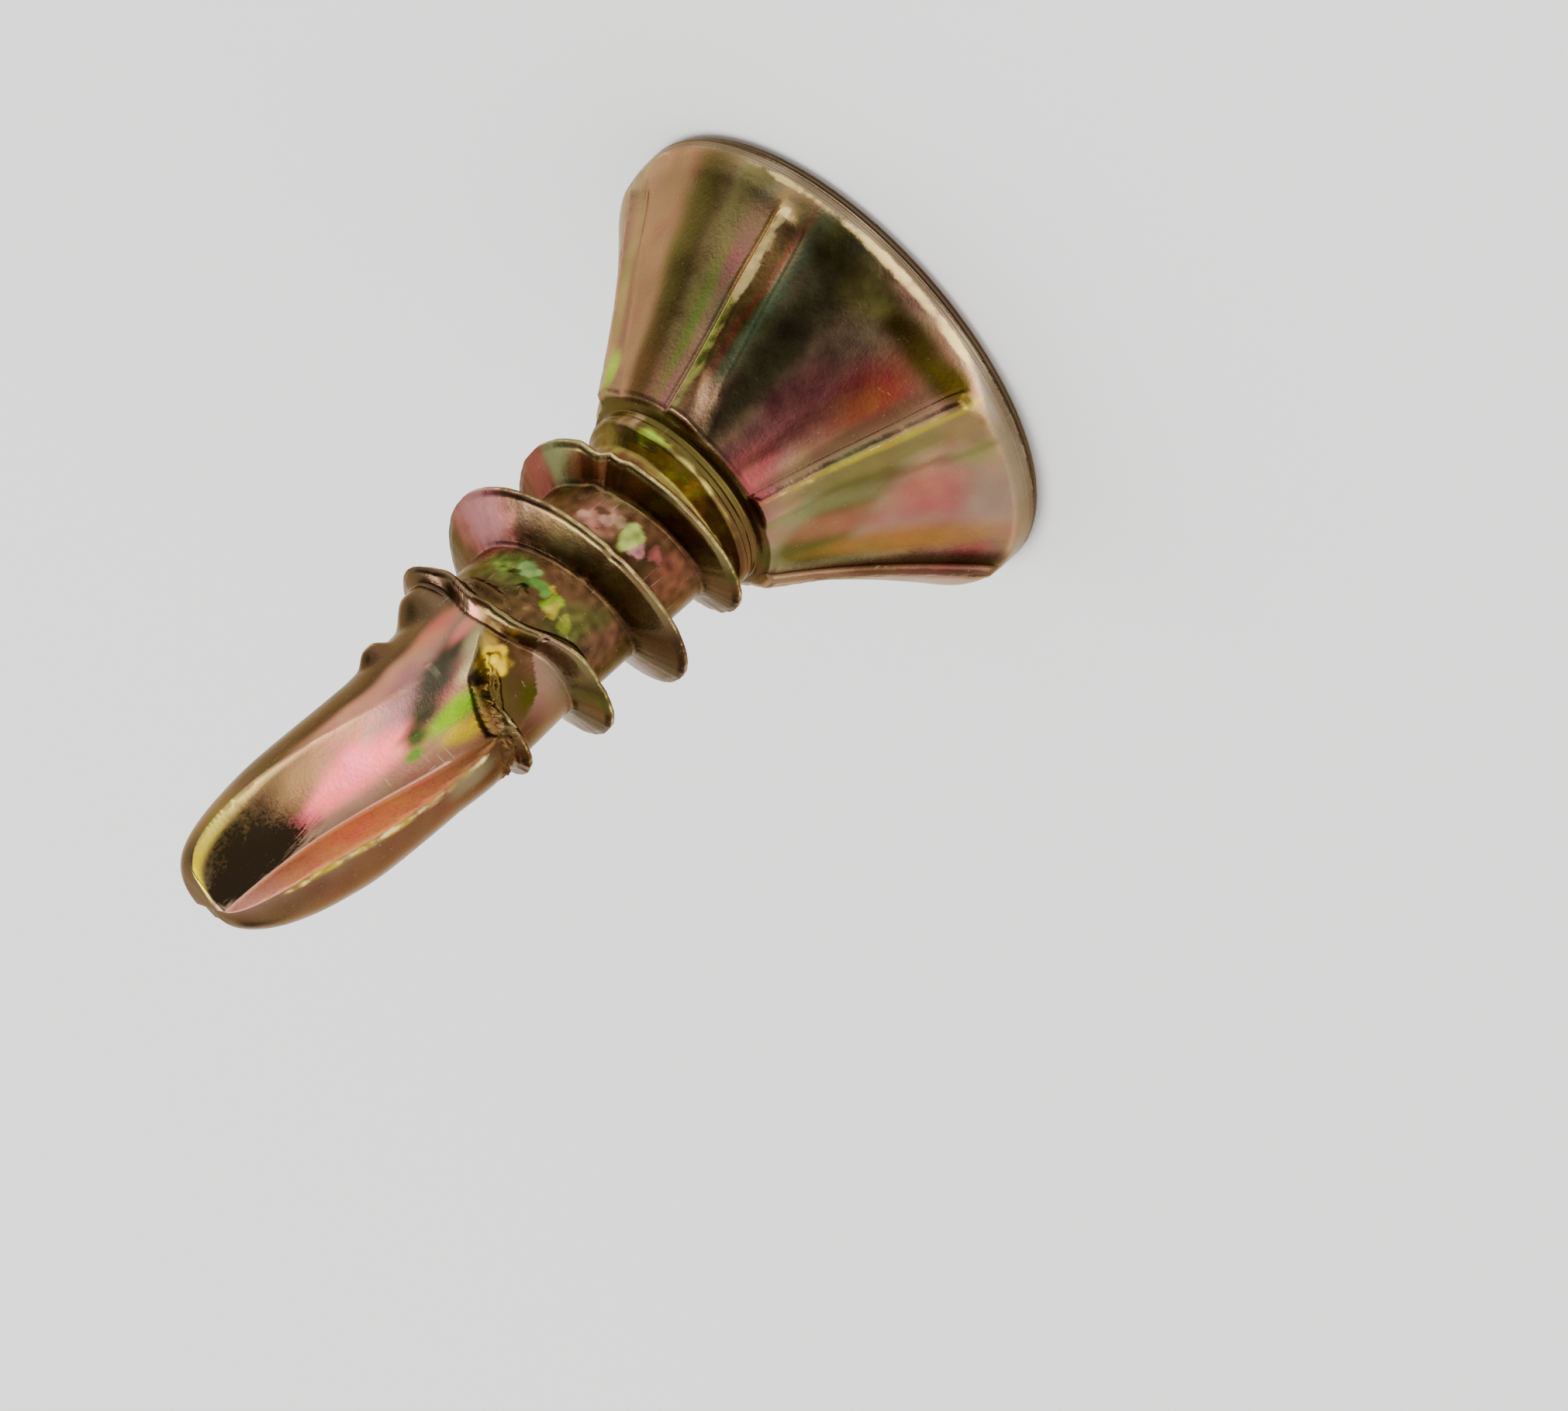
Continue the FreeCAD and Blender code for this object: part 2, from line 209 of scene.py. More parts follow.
def crest_radius(z, azimuth):
    """The crest's radius at this height, with its nicks and its slightly uneven roll."""
    radius = np.interp(z, CREST_HEIGHTS, CREST_RADII)
    for middle, height, half, depth in CREST_NICKS:
        away = away_from(azimuth, z, (middle, height, half, NICK_TALL))
        radius = radius - depth * np.clip(1.3 - away, 0.0, 1.0)
    x, y = flat_place(azimuth, 2.0)
    return radius + 0.012 * grain(x, y, z, 0.22, 8.0) - 0.25 * ease(8.12, 8.3, z)


def crests(azimuth, bend=0.26):
    """Heights at which the thread's crest crosses an azimuth. One turn was bent up by this."""
    azimuth = azimuth % 360.0
    bent = bend * ease(238.0, 280.0, azimuth) * (1.0 - ease(300.0, 336.0, azimuth))
    return [FIRST_CREST + PITCH * (azimuth / 360.0 + turn) + (bent if turn == BENT_TURN else 0.0)
            for turn in range(-1, 6)]


def from_crest(azimuth, z):
    """Height from the thread's nearest crest, as it would run without its bent turn."""
    return np.min([np.abs(z - crest) for crest in crests(azimuth, bend=0.0)], axis=0)


# Swellings where pinching the flutes pushed the thread's metal aside: azimuth, height, half size
# round and up, and rise.
SWELLINGS = ((354, 7.36, 30, 0.50, 0.28), (350, 8.40, 17, 0.30, 0.15), (310, 6.80, 30, 0.10, 0.05),
             (140, 7.25, 24, 0.42, 0.22), (130, 6.80, 30, 0.08, 0.10), (120, 8.3, 12, 0.2, 0.08))


def swelling(azimuth, z):
    """How far the metal that was pushed aside stands out."""
    rise = np.zeros_like(z)
    for *place, most in SWELLINGS:
        rise = np.maximum(rise, most * (1.0 - ease(0.2, 1.1, away_from(azimuth, z, place))))
    return rise


def ridge_radius(azimuth, z):
    """Radius of the thread's ridge: less than the core's between the turns."""
    ridge = np.zeros_like(z)
    for crest in crests(azimuth):
        away = np.maximum(np.abs(z - crest) - CREST_HALF, 0.0)
        ridge = np.maximum(ridge, crest_radius(crest, azimuth) - away * FLANK_SLOPE)
    return ridge


# Drill point

# How a flute's floor rises and its wall turns with the distance from the tip.
FLUTE_FROM_TIP = (-0.6, 2.2, 3.7, 5.7)
FLUTE_LEVELS = np.polyfit(FLUTE_FROM_TIP, (0.20, 0.42, 0.74, 1.452), 3)
FLUTE_TURNS = np.polyfit(FLUTE_FROM_TIP, (0.0, -5.0, -10.0, 22.0), 3)
FLUTE_LENGTH = 5.75
# The wall's azimuth at the tip. It rises by WALL_RISE over WALL_LEAN degrees.
WALL_AZIMUTH = 57.0
WALL_LEAN = 1.6
WALL_RISE = 1.2
# Seen along the axis, the floor is an arc from the wall's foot to this x, and this much higher.
FLOOR_RADIUS = 1.90
FLOOR_END = -1.45
FLOOR_CLIMB = 0.84
UNCUT = 9.0


def wall_azimuth(z):
    """Azimuth of the first flute's wall. The second is half a turn further."""
    return WALL_AZIMUTH + np.polyval(FLUTE_TURNS, TIP - z)


def past_wall(azimuth, z):
    """Azimuth past the wall of the nearer flute, from 30 degrees before it."""
    return signed(azimuth - wall_azimuth(z), 180.0, 30.0)


def beside_wall(azimuth, z):
    """The same, from 90 degrees before the wall to 90 past it."""
    return signed(azimuth - wall_azimuth(z), 180.0)


def floor_radius(turned, z):
    """Distance from the axis to a flute's floor. Turned is the azimuth past the wall."""
    level = np.polyval(FLUTE_LEVELS, TIP - z)
    start_x = level / math.tan(math.radians(WALL_AZIMUTH))
    chord_x = FLOOR_END - start_x
    length = np.hypot(chord_x, FLOOR_CLIMB)
    reach = np.sqrt(FLOOR_RADIUS ** 2 - (length / 2) ** 2)
    centre_x = start_x + chord_x / 2 + FLOOR_CLIMB / length * reach
    centre_y = level + FLOOR_CLIMB / 2 - chord_x / length * reach
    angle = np.radians(turned + WALL_AZIMUTH)
    along = centre_x * np.cos(angle) + centre_y * np.sin(angle)
    inside = along ** 2 - centre_x ** 2 - centre_y ** 2 + FLOOR_RADIUS ** 2
    beyond = along + 3.0 * np.sqrt(np.maximum(-inside, 0.0))
    return np.where(inside > 0, along - np.sqrt(np.maximum(inside, 0.0)), beyond)


# The edge where a flute runs out into the thread, and its slope as millimetres round for each
# millimetre up. A degree round the drill is DEGREE long.
DEGREE = 0.02
EXIT_HEIGHTS = (6.9, 7.1, 7.3, 7.6, 7.9, 8.1, 8.25)
EXIT_AZIMUTHS = (322.0, 312.0, 293.0, 284.0, 276.0, 252.0, 225.0)
EXIT_LEAN = np.gradient(EXIT_AZIMUTHS, EXIT_HEIGHTS) * DEGREE


def past_exit(azimuth, z):
    """Millimetres past the edge where a flute runs out into the thread, less than 0 outside."""
    edge = np.interp(z, EXIT_HEIGHTS, EXIT_AZIMUTHS)
    lean = np.interp(z, EXIT_HEIGHTS, EXIT_LEAN)
    return signed(azimuth - edge, 180.0, 60.0) * DEGREE / np.sqrt(1.0 + lean ** 2)


def flute_radius(azimuth, z):
    """Radius left by the two flutes: far out where they don't cut."""
    turned = past_wall(azimuth, z)
    root = floor_radius(np.zeros_like(turned), z)
    floor = floor_radius(np.maximum(turned, 0.0), z)
    wall = root + np.maximum(-turned, 0.0) / WALL_LEAN * WALL_RISE
    cut = np.where(turned < 0, wall, floor) + 1.2 * np.maximum(-past_exit(azimuth, z), 0.0)
    cut = cut + 0.010 * np.maximum(turned - 90.0, 0.0)
    cut = cut + 0.0008 * np.maximum(turned - 100.0, 0.0) ** 2
    return np.where((turned > 149.0) | (TIP - z > FLUTE_LENGTH), UNCUT, cut)


# The ground point, as radius against the square root of the distance from the tip: one side came
# out blunter than the other, and both are worn round.
POINT_ROOTS = (0.0, 0.3, 0.5, 0.8, 0.95, 1.2, 1.5, 1.7)
BLUNT_SIDE = (0.45, 0.74, 0.90, 1.02, 1.07, 1.14, 1.19, 1.21)
LONG_SIDE = (0.06, 0.36, 0.54, 0.79, 0.90, 1.06, 1.16, 1.21)
BLUNT_FIT = np.polyfit(POINT_ROOTS, BLUNT_SIDE, 3)
LONG_FIT = np.polyfit(POINT_ROOTS, LONG_SIDE, 3)
BLUNT_AZIMUTH = 350.0
GROUND_LENGTH = 2.9


def point_radius(stock, azimuth, z):
    """The stock's radius, less what grinding the point took."""
    root = np.minimum(np.sqrt(np.maximum(TIP - z, 0.0)), POINT_ROOTS[-1])
    side = 0.5 + 0.5 * np.cos(np.radians(azimuth - BLUNT_AZIMUTH))
    ground = side * np.polyval(BLUNT_FIT, root) + (1.0 - side) * np.polyval(LONG_FIT, root)
    ground = ground + np.maximum(TIP - z - GROUND_LENGTH, 0.0) * 2.0
    return np.maximum(soft_min(ground, stock, 0.03), 0.0)


def heel_azimuth(z, flute):
    """Azimuth past the wall at which the floor of flute 0 or 1 reaches the drill's body."""
    turned = np.linspace(2.0, 124.0, 489)
    azimuth = turned + wall_azimuth(z) + 180.0 * flute
    past = floor_radius(turned, z) - point_radius(DRILL_RADIUS, azimuth, z)
    first = max(int(np.argmax(past >= 0.0)), 1) if past.max() >= 0.0 else len(turned) - 1
    share = past[first - 1] / min(past[first - 1] - past[first], -1e-6)
    return turned[first - 1] + (turned[1] - turned[0]) * min(max(share, 0.0), 1.0)


# How many columns of each flute's half lie on its wall, floor and heel: the rest are on the body.
WALL_COLUMNS = 12
FLOOR_COLUMNS = 44
HEEL_COLUMNS = 18
HEEL_WIDTH = 8.0
WALL_FIRST = 16


def flute_columns(columns, z):
    """Azimuth of each column on the drill: close together on the walls and heels."""
    half = COLUMNS // 2
    place = (columns - WALL_FIRST) % half
    turn = (columns - WALL_FIRST) // half
    marks = np.append(np.cumsum([0, WALL_COLUMNS, FLOOR_COLUMNS, HEEL_COLUMNS]), half)
    turned = []
    for flute in (0, 1):
        heel = heel_azimuth(min(max(z, 8.2), TIP - 0.15), flute)
        angles = [-WALL_LEAN, 0.0, heel - HEEL_WIDTH, heel + 1.0, 180.0 - WALL_LEAN]
        turned.append(np.interp(place, marks, angles))
    return np.where(turn % 2 == 0, turned[0], turned[1]) + 180.0 * turn + wall_azimuth(z)


# The turned stock before the thread and flutes are formed.
STOCK_HEIGHTS = (CONE_TOP, COLLAR_FOOT, COLLAR_TOP, CORE_FOOT, CORE_TOP, DRILL_FOOT)
STOCK_RADII = (CONE_TOP_RADIUS, COLLAR_RADIUS, COLLAR_RADIUS, CORE_RADIUS, CORE_RADIUS,
               DRILL_RADIUS)


def shank_radius(azimuth, z):
    """Radius of everything above the cone: collar, core, thread, drill and point."""
    stock = np.interp(z, STOCK_HEIGHTS, STOCK_RADII)
    stock = soft_max(stock, ridge_radius(azimuth, z), 0.05) + swelling(azimuth, z)
    stock = point_radius(stock, azimuth, z)
    turned = past_wall(azimuth, z)
    blend = 0.012 + 0.26 * ease(30.0, 75.0, turned) * ease(7.3, 8.3, z)
    cut = soft_min(stock, flute_radius(azimuth, z), blend)
    x, y = flat_place(azimuth, cut)
    rough = grain(x, y, z, 0.12, 21.0)
    past = past_exit(azimuth, z)
    lip = np.exp(-((past + 0.16) / 0.05) ** 2) + 0.8 * np.exp(-((past + 0.30) / 0.05) ** 2)
    cut = cut + 0.10 * lip * ease(7.5, 7.7, z) * ease(8.22, 8.1, z) * (1.0 + rough)
    wall_edge = np.clip(1.0 - np.abs(turned + 4.0) / 4.5, 0.0, 1.0) * ease(7.9, 8.4, z)
    chips = np.maximum(grain(x, y, z, 0.09, 5.0) + 0.1, 0.0) * ease(12.3, 11.4, z)
    return cut - 0.055 * wall_edge * chips + 0.05 * torn_metal(azimuth, z) * (0.4 + rough)


def torn_metal(azimuth, z):
    """Where the metal is torn: beside each flute's exit, and on the core between the turns."""
    exits = np.clip(1.4 - away_from(azimuth, z, (90, 7.55, 9, 0.28), 180.0), 0.0, 1.0)
    core = np.clip(1.2 - away_from(azimuth, (z - 6.7) % PITCH, (296, 1.2, 26, 0.3)), 0.0, 1.0)
    return np.maximum(exits, 1.2 * ease(3.9, 4.3, z) * ease(7.3, 7.0, z) * core)


# Cross recess and face

# Depths of the wings, of the core's wall and of its pointed bottom. The pairs are sizes at the
# face and at that depth.
WING_DEPTH = 1.85
CORE_DEPTH = 2.45
RECESS_BOTTOM = 2.75
WING_HALVES = (0.56, 0.42)
RECESS_CORE = (0.92, 0.53)
WING_REACH = 2.55
WING_SLOPE = math.tan(math.radians(26.5))
WING_CORNER = 0.48
WING_COUNT = 4
LIP_WORN = 0.045
# Columns from a wing's middle to its corner, to the rounded corner between and to its middle.
RECESS_STATIONS = (0, 10, 26, 36)
FIRST_WING = 64


def recess_columns(columns, depth):
    """Azimuth of each column in the recess: its wings' corners fall on columns."""
    period = COLUMNS // WING_COUNT
    place = signed(columns - FIRST_WING, period)
    wing = (columns - FIRST_WING + period // 2) // period
    half, reach = wing_size(depth)
    corner = math.degrees(math.atan2(half, reach))
    angle = np.interp(np.abs(place), RECESS_STATIONS, (0.0, corner, 33.0, 45.0))
    return RECESS_AZIMUTH + 90.0 * (wing + 1) + np.sign(place) * angle


def wing_size(depth):
    """Half width and reach of a wing at this depth."""
    return np.interp(depth, [0.0, WING_DEPTH], WING_HALVES), WING_REACH - depth * WING_SLOPE


def core_size(depth):
    """Radius of the recess's core at this depth."""
    return np.interp(depth, [0.0, CORE_DEPTH], RECESS_CORE)


def recess_radius(azimuth, depth):
    """Outline of the recess at this depth."""
    off = np.radians(np.abs(signed(azimuth - RECESS_AZIMUTH, 90.0)))
    half, reach = wing_size(depth)
    end = reach / np.cos(off)
    side = half / np.maximum(np.sin(off), 1e-3)
    middle = (half + WING_CORNER) * math.sqrt(2.0)
    along = middle * np.cos(np.radians(45.0) - off)
    corner = along - np.sqrt(np.maximum(along ** 2 - middle ** 2 + WING_CORNER ** 2, 0.0))
    near_corner = off > math.atan2(half, half + WING_CORNER)
    wings = np.where(near_corner, corner, np.minimum(end, side))
    return np.maximum(wings, core_size(depth))


# Rings: each one is (azimuth, radius, height), one value per column


def recess_rings():
    """Rings from the bottom of the recess up its walls to the face."""
    angle = recess_columns(columns, WING_DEPTH)
    rings = []
    for share in (0.15, 0.4, 0.7, 1.0):
        height = RECESS_BOTTOM + (CORE_DEPTH - RECESS_BOTTOM) * share
        rings.append((angle, same(RECESS_CORE[1] * share), same(height)))
    for depth in (2.3, 2.1, 1.92):
        rings.append((angle, same(core_size(depth)), same(depth)))
    inner = core_size(WING_DEPTH)
    outer = recess_radius(angle, WING_DEPTH)
    for share in (0.04, 0.3, 0.6, 0.96):
        rings.append((angle, inner + (outer - inner) * share, same(WING_DEPTH)))
    for depth in (1.82, 1.6, 1.3, 1.0, 0.7, 0.4, 0.2, 0.09, 0.045, 0.018):
        angle = recess_columns(columns, depth)
        worn = LIP_WORN * max(0.0, 1.0 - depth / LIP_WORN) ** 2
        rings.append((angle, recess_radius(angle, depth) + worn, same(depth)))
    return rings


def face_rings():
    """Rings over the flat face and round its edge to the rim."""
    rings = []
    recess_angle = recess_columns(columns, 0.0)
    edge_angle = rib_columns(columns, HEAD_RADIUS)
    outer = HEAD_RADIUS - FACE_ROUND
    for share in (0.0, 0.06, 0.2, 0.4, 0.6, 0.8, 0.95, 1.0):
        angle = recess_angle + (edge_angle - recess_angle) * ease(0.2, 1.0, share)
        start = recess_radius(angle, 0.0) + 0.06
        rings.append((angle, start + (outer - start) * share, same(0.0)))
    for turn in np.radians((18, 36, 54, 72, 90)):
        radius = outer + FACE_ROUND * math.sin(turn)
        height = FACE_ROUND * (1.0 - math.cos(turn))
        rings.append((edge_angle, same(radius), same(height)))
    return rings


def rolled(azimuth):
    """1 beside the battered rib, where the rim was rolled in, and 0 elsewhere."""
    return 1.0 - ease(50.0, 70.0, np.abs(signed(azimuth - BATTERED)))


def rolled_in(azimuth, z):
    """How far the cone is rolled in beside the rim, which leaves a narrower land there."""
    return 0.17 * rolled(azimuth) * (1.0 - ease(0.5, 1.7, z))


def rim_rings():
    """Rings up the rim's land and round its edge to the cone."""
    rings = []
    angle = rib_columns(columns, HEAD_RADIUS)
    for height in (0.16, 0.21, 0.25, 0.29, 0.33, 0.37, 0.41, 0.45, 0.50, 0.555, 0.61):
        slope = HEAD_RADIUS + (RIM_TOP - height) * 0.66
        if height > RIM_TOP:
            slope = cone_radius(height)
        radius = soft_min(HEAD_RADIUS, slope - rolled_in(angle, max(height, 0.5)), 0.09)
        radius = radius + rib_rise(angle, radius, height)
        rings.append((angle, radius, same(height)))
    return rings


def cone_rings():
    """Rings up the hollow cone and its ribs."""
    rings = []
    for height in np.linspace(0.67, CONE_TOP - 0.02, 60):
        base = cone_radius(height)
        angle = rib_columns(columns, base)
        radius = base - rolled_in(angle, height) + rib_rise(angle, base, height)
        rings.append((angle, radius, same(height)))
    return rings


COLLAR_HEIGHTS = (3.235, 3.25, 3.27, 3.29, 3.31, 3.33, 3.35, 3.38, 3.41, 3.44, 3.47, 3.50, 3.53,
                  3.56, 3.59, 3.62, 3.65, 3.68)
GROOVE_PITCH = 0.09


def collar_rings():
    """Rings from the cone's small end over the grooved collar to the start of the thread."""
    rings = []
    start = rib_columns(columns, CONE_TOP_RADIUS)
    for height in COLLAR_HEIGHTS:
        angle = start + (even(columns) - start) * ease(3.23, 3.66, height)
        x, y = flat_place(angle, 1.0)
        uneven = 1.0 + 1.6 * grain(x, y, 0.0 * x, 0.35, 33.0 + height * 3.0)
        groove = 0.009 * (1.0 + math.cos(height / GROOVE_PITCH * 2.0 * math.pi)) * uneven
        rib = rib_rise(angle, CONE_TOP_RADIUS, CONE_TOP) * (1.0 - ease(3.23, 3.27, height))
        rings.append((angle, shank_radius(angle, same(height)) - groove + rib, same(height)))
    return rings


THREAD_LOW = 3.71
THREAD_HIGH = 8.72
THREAD_ROWS = 124


def thread_rings():
    """Rings over the thread. Each column's rows are shifted so that three of them follow the
    middle and corners of the crest, which keeps the crest's edges clean."""
    step = (THREAD_HIGH - THREAD_LOW) / THREAD_ROWS
    rows = np.arange(THREAD_ROWS + 1)
    plain = THREAD_LOW + step * rows
    start = even(columns)
    angles = np.array([start + (flute_columns(columns, height) - start) * ease(6.4, 8.1, height)
                       for height in plain])
    heights = np.empty_like(angles)
    for column in columns:
        marks, places = [0], [THREAD_LOW]
        for crest in crests(start[column]):
            moved = np.interp(crest, plain, angles[:, column]) - start[column]
            crest = crest + moved / 360.0 * PITCH
            row = round((crest - CREST_HALF - THREAD_LOW) / step)
            if marks[-1] + 3 <= row <= THREAD_ROWS - 4:
                marks += [row, row + 1, row + 2]
                places += [crest - CREST_HALF, crest, crest + CREST_HALF]
        heights[:, column] = np.interp(rows, marks + [THREAD_ROWS], places + [THREAD_HIGH])
    return list(zip(angles, shank_radius(angles, heights), heights))


def drill_rings():
    """Rings up the drill point, closer together towards the tip."""
    body = np.linspace(THREAD_HIGH + 0.045, 11.55, 56)
    point = TIP - 0.93 * np.linspace(1.0, 0.0, 31)[:-1] ** 1.25
    rings = []
    for height in np.concatenate([body, point]):
        angle = flute_columns(columns, height)
        rings.append((angle, shank_radius(angle, same(height)), same(height)))
    return rings


def screw_rings():
    """All rings, how many are in the recess, and the first and last of the thread."""
    zones = [recess_rings(), face_rings(), rim_rings(), cone_rings(), collar_rings(),
             thread_rings(), drill_rings()]
    rings = [ring for zone in zones for ring in zone]
    first = sum(len(zone) for zone in zones[:5])
    return rings, len(zones[0]), first, first + THREAD_ROWS


# Film with painted reflections, dirt with painted shade, and wear with painted highlights: each is
# a value at every point of the mesh


def linear(code):
    """An sRGB hex colour as the linear colour that a socket takes."""
    parts = [int(code[k:k + 2], 16) / 255.0 for k in (1, 3, 5)]
    return [c / 12.92 if c <= 0.04045 else ((c + 0.055) / 1.055) ** 2.4 for c in parts] + [1.0]


# The interference colours of the chromate film that come back in several places.
GOLD, OCHRE, BROWN, UMBER = "#cf9f3a", "#b07c3c", "#72502e", "#3c2c16"
RED, ROSE, DUSTY, TAN = "#b8463c", "#bb5a5c", "#b07a6c", "#b8906e"
LILAC, SAGE, OLIVE, GREEN, LIME = "#a08a90", "#9aa084", "#66602c", "#78ac3a", "#b4d444"

# Film on the cone: azimuth and height of a patch's middle, half size round and up, colour and how
# far it covers what is under it. Some of the dark and bright patches, such as the dark band at 281
# degrees, are painted reflections of the studio.
CONE_FILM = (
    (340, 1.6, 18, 2.2, "#b48862", 1.0), (348, 2.2, 7, 1.6, "#a87c5c", 0.7),
    (326, 1.6, 8, 2.6, OLIVE, 0.9), (328, 2.9, 7, 0.6, BROWN, 0.8),
    (315, 1.7, 5, 2.0, "#a09458", 0.85), (312, 2.2, 2.5, 0.8, "#8cac3c", 0.6),
    (301, 2.3, 2.2, 0.9, "#a8b84c", 0.9), (303, 1.2, 2.2, 0.8, "#e0b468", 0.9),
    (356, 1.9, 2.5, 1.5, "#c0a468", 0.8), (352, 2.95, 4, 0.25, LIME, 0.9),
    (298, 1.8, 2.6, 1.7, "#8c6c3c", 0.9), (295.5, 1.8, 0.9, 1.7, RED, 0.6),
    (291.5, 1.6, 2.2, 1.1, "#7c8c68", 0.9), (281, 1.7, 8, 2.1, "#5a5438", 0.95),
    (266, 2.0, 7, 1.2, "#94605c", 0.7), (268, 1.2, 8, 0.5, "#7c6c50", 0.7),
    (258, 2.4, 3.0, 1.0, UMBER, 0.6), (253, 1.5, 8, 1.1, "#84463a", 0.9),
    (255, 1.25, 8, 0.5, "#884030", 0.7), (252, 1.55, 4.5, 0.45, "#9c5024", 0.5),
    (246, 1.9, 3.0, 1.3, "#5c3c24", 0.7), (258, 0.72, 26, 0.20, "#504010", 0.95),
    (275, 0.75, 7, 0.30, "#aca058", 0.9), (246, 0.62, 6, 0.15, "#6c5814", 0.9),
    (236.5, 1.7, 4.5, 1.6, "#8c7c48", 0.9), (236, 0.75, 4, 0.3, "#a07c54", 0.8),
    (240.3, 1.8, 1.1, 1.5, "#c0a838", 0.9), (229, 1.7, 1.5, 1.6, BROWN, 0.7),
    (227, 2.6, 4, 1.0, "#8c8c58", 0.7), (228, 0.85, 4, 0.25, "#8c9c50", 0.5),
    (212, 1.3, 14, 0.9, DUSTY, 0.8), (214, 0.8, 9, 0.3, "#a89880", 0.6),
    (220, 1.40, 8, 0.45, "#c0685c", 0.8), (216, 2.5, 7, 0.6, "#b46c54", 0.7),
    (201, 1.75, 7, 1.0, OCHRE, 0.95), (186.5, 1.5, 6, 2.0, "#40200c", 0.95),
    (178, 2.2, 3, 0.8, OLIVE, 0.8), (90, 1.6, 12, 1.0, ROSE, 0.6), (64, 1.8, 8, 1.2, OLIVE, 0.8),
    (120, 1.2, 9, 0.7, GOLD, 0.5), (140, 2.0, 9, 1.0, SAGE, 0.7), (30, 1.9, 9, 1.2, DUSTY, 0.7),
    (12, 1.3, 7, 0.8, GREEN, 0.4))

# Film on the neck, thread and core. Some of its dark and bright patches are painted reflections.
THREAD_FILM = (
    (290, 3.40, 75, 0.20, "#5c5026", 0.95), (290, 3.75, 70, 0.16, "#94843e", 0.9),
    (302, 3.58, 8, 0.09, LIME, 0.9), (322, 3.5, 7, 0.15, TAN, 0.7),
    (272, 3.98, 22, 0.06, GOLD, 0.9), (276, 3.75, 20, 0.03, LIME, 0.6),
    (0, 4.6, 22, 0.5, ROSE, 0.5), (338, 4.5, 12, 0.3, "#889060", 0.9),
    (305, 4.4, 26, 0.3, "#947a50", 0.85), (275, 3.64, 16, 0.08, "#c8b060", 0.7),
    (291, 4.96, 14, 0.30, "#a8705c", 0.9), (228, 4.6, 14, 0.45, "#7c4434", 0.75),
    (345, 5.9, 28, 0.4, "#d47c78", 0.85), (345, 5.9, 18, 0.3, LILAC, 0.35),
    (296, 5.66, 28, 0.28, "#94744c", 0.85), (312, 5.70, 13, 0.26, "#64503c", 0.85),
    (212, 5.40, 34, 0.30, "#402c20", 1.0), (200, 4.3, 20, 0.3, "#5c4030", 0.8),
    (312, 6.30, 22, 0.26, "#5c7830", 0.7), (250, 6.3, 12, 0.25, "#60602c", 0.8),
    (224, 6.1, 16, 0.35, "#644430", 0.85), (290, 6.86, 34, 0.3, "#5c4628", 0.9),
    (234, 7.46, 12, 0.28, "#444008", 0.95), (215, 7.5, 10, 0.4, "#7c5c48", 0.9),
    (204, 7.3, 20, 0.5, "#54442c", 0.9), (350, 7.2, 22, 0.35, BROWN, 0.7),
    (262, 7.85, 34, 0.4, "#54401f", 0.95), (282, 7.6, 9, 0.3, "#c8a444", 0.8),
    (90, 5.0, 30, 0.3, LIME, 0.4), (120, 6.3, 30, 0.25, ROSE, 0.5), (60, 4.4, 30, 0.2, SAGE, 0.5),
    (150, 5.7, 25, 0.3, OLIVE, 0.6))

# Sharp-edged patches where the core's torn metal lies as small facets: painted glints and
# reflections on those facets.
FACET_GLINTS = (
    (300, 5.06, 6, 0.09, "#c08c78", 0.8), (288, 4.86, 5, 0.12, "#c8907c", 0.9),
    (281, 5.02, 4, 0.08, "#8c5440", 0.9), (296, 4.80, 4, 0.07, "#5c4028", 0.9),
    (250, 4.70, 5, 0.12, "#8c5044", 0.8), (254, 6.40, 5, 0.14, "#8c9430", 0.8),
    (268, 4.84, 9, 0.20, "#a8b458", 1.0), (259, 4.88, 4, 0.14, "#b88078", 0.9),
    (280, 4.74, 5, 0.10, "#b08868", 0.9), (270, 6.36, 8, 0.16, "#8cac28", 0.95),
    (284, 6.30, 7, 0.11, "#64943c", 0.9), (278, 6.22, 3, 0.08, "#b4a430", 0.9),
    (292, 6.38, 4, 0.07, "#54702c", 0.9), (299, 6.22, 9, 0.13, "#88a860", 0.85),
    (268, 6.42, 5, 0.08, "#c0a83c", 0.9), (316, 6.40, 6, 0.10, "#7c9c40", 0.7),
    (269, 7.56, 12, 0.24, "#f0c028", 1.0), (265, 7.66, 4, 0.07, "#c8a44c", 0.9),
    (262, 7.80, 6, 0.10, "#5c401c", 0.9))
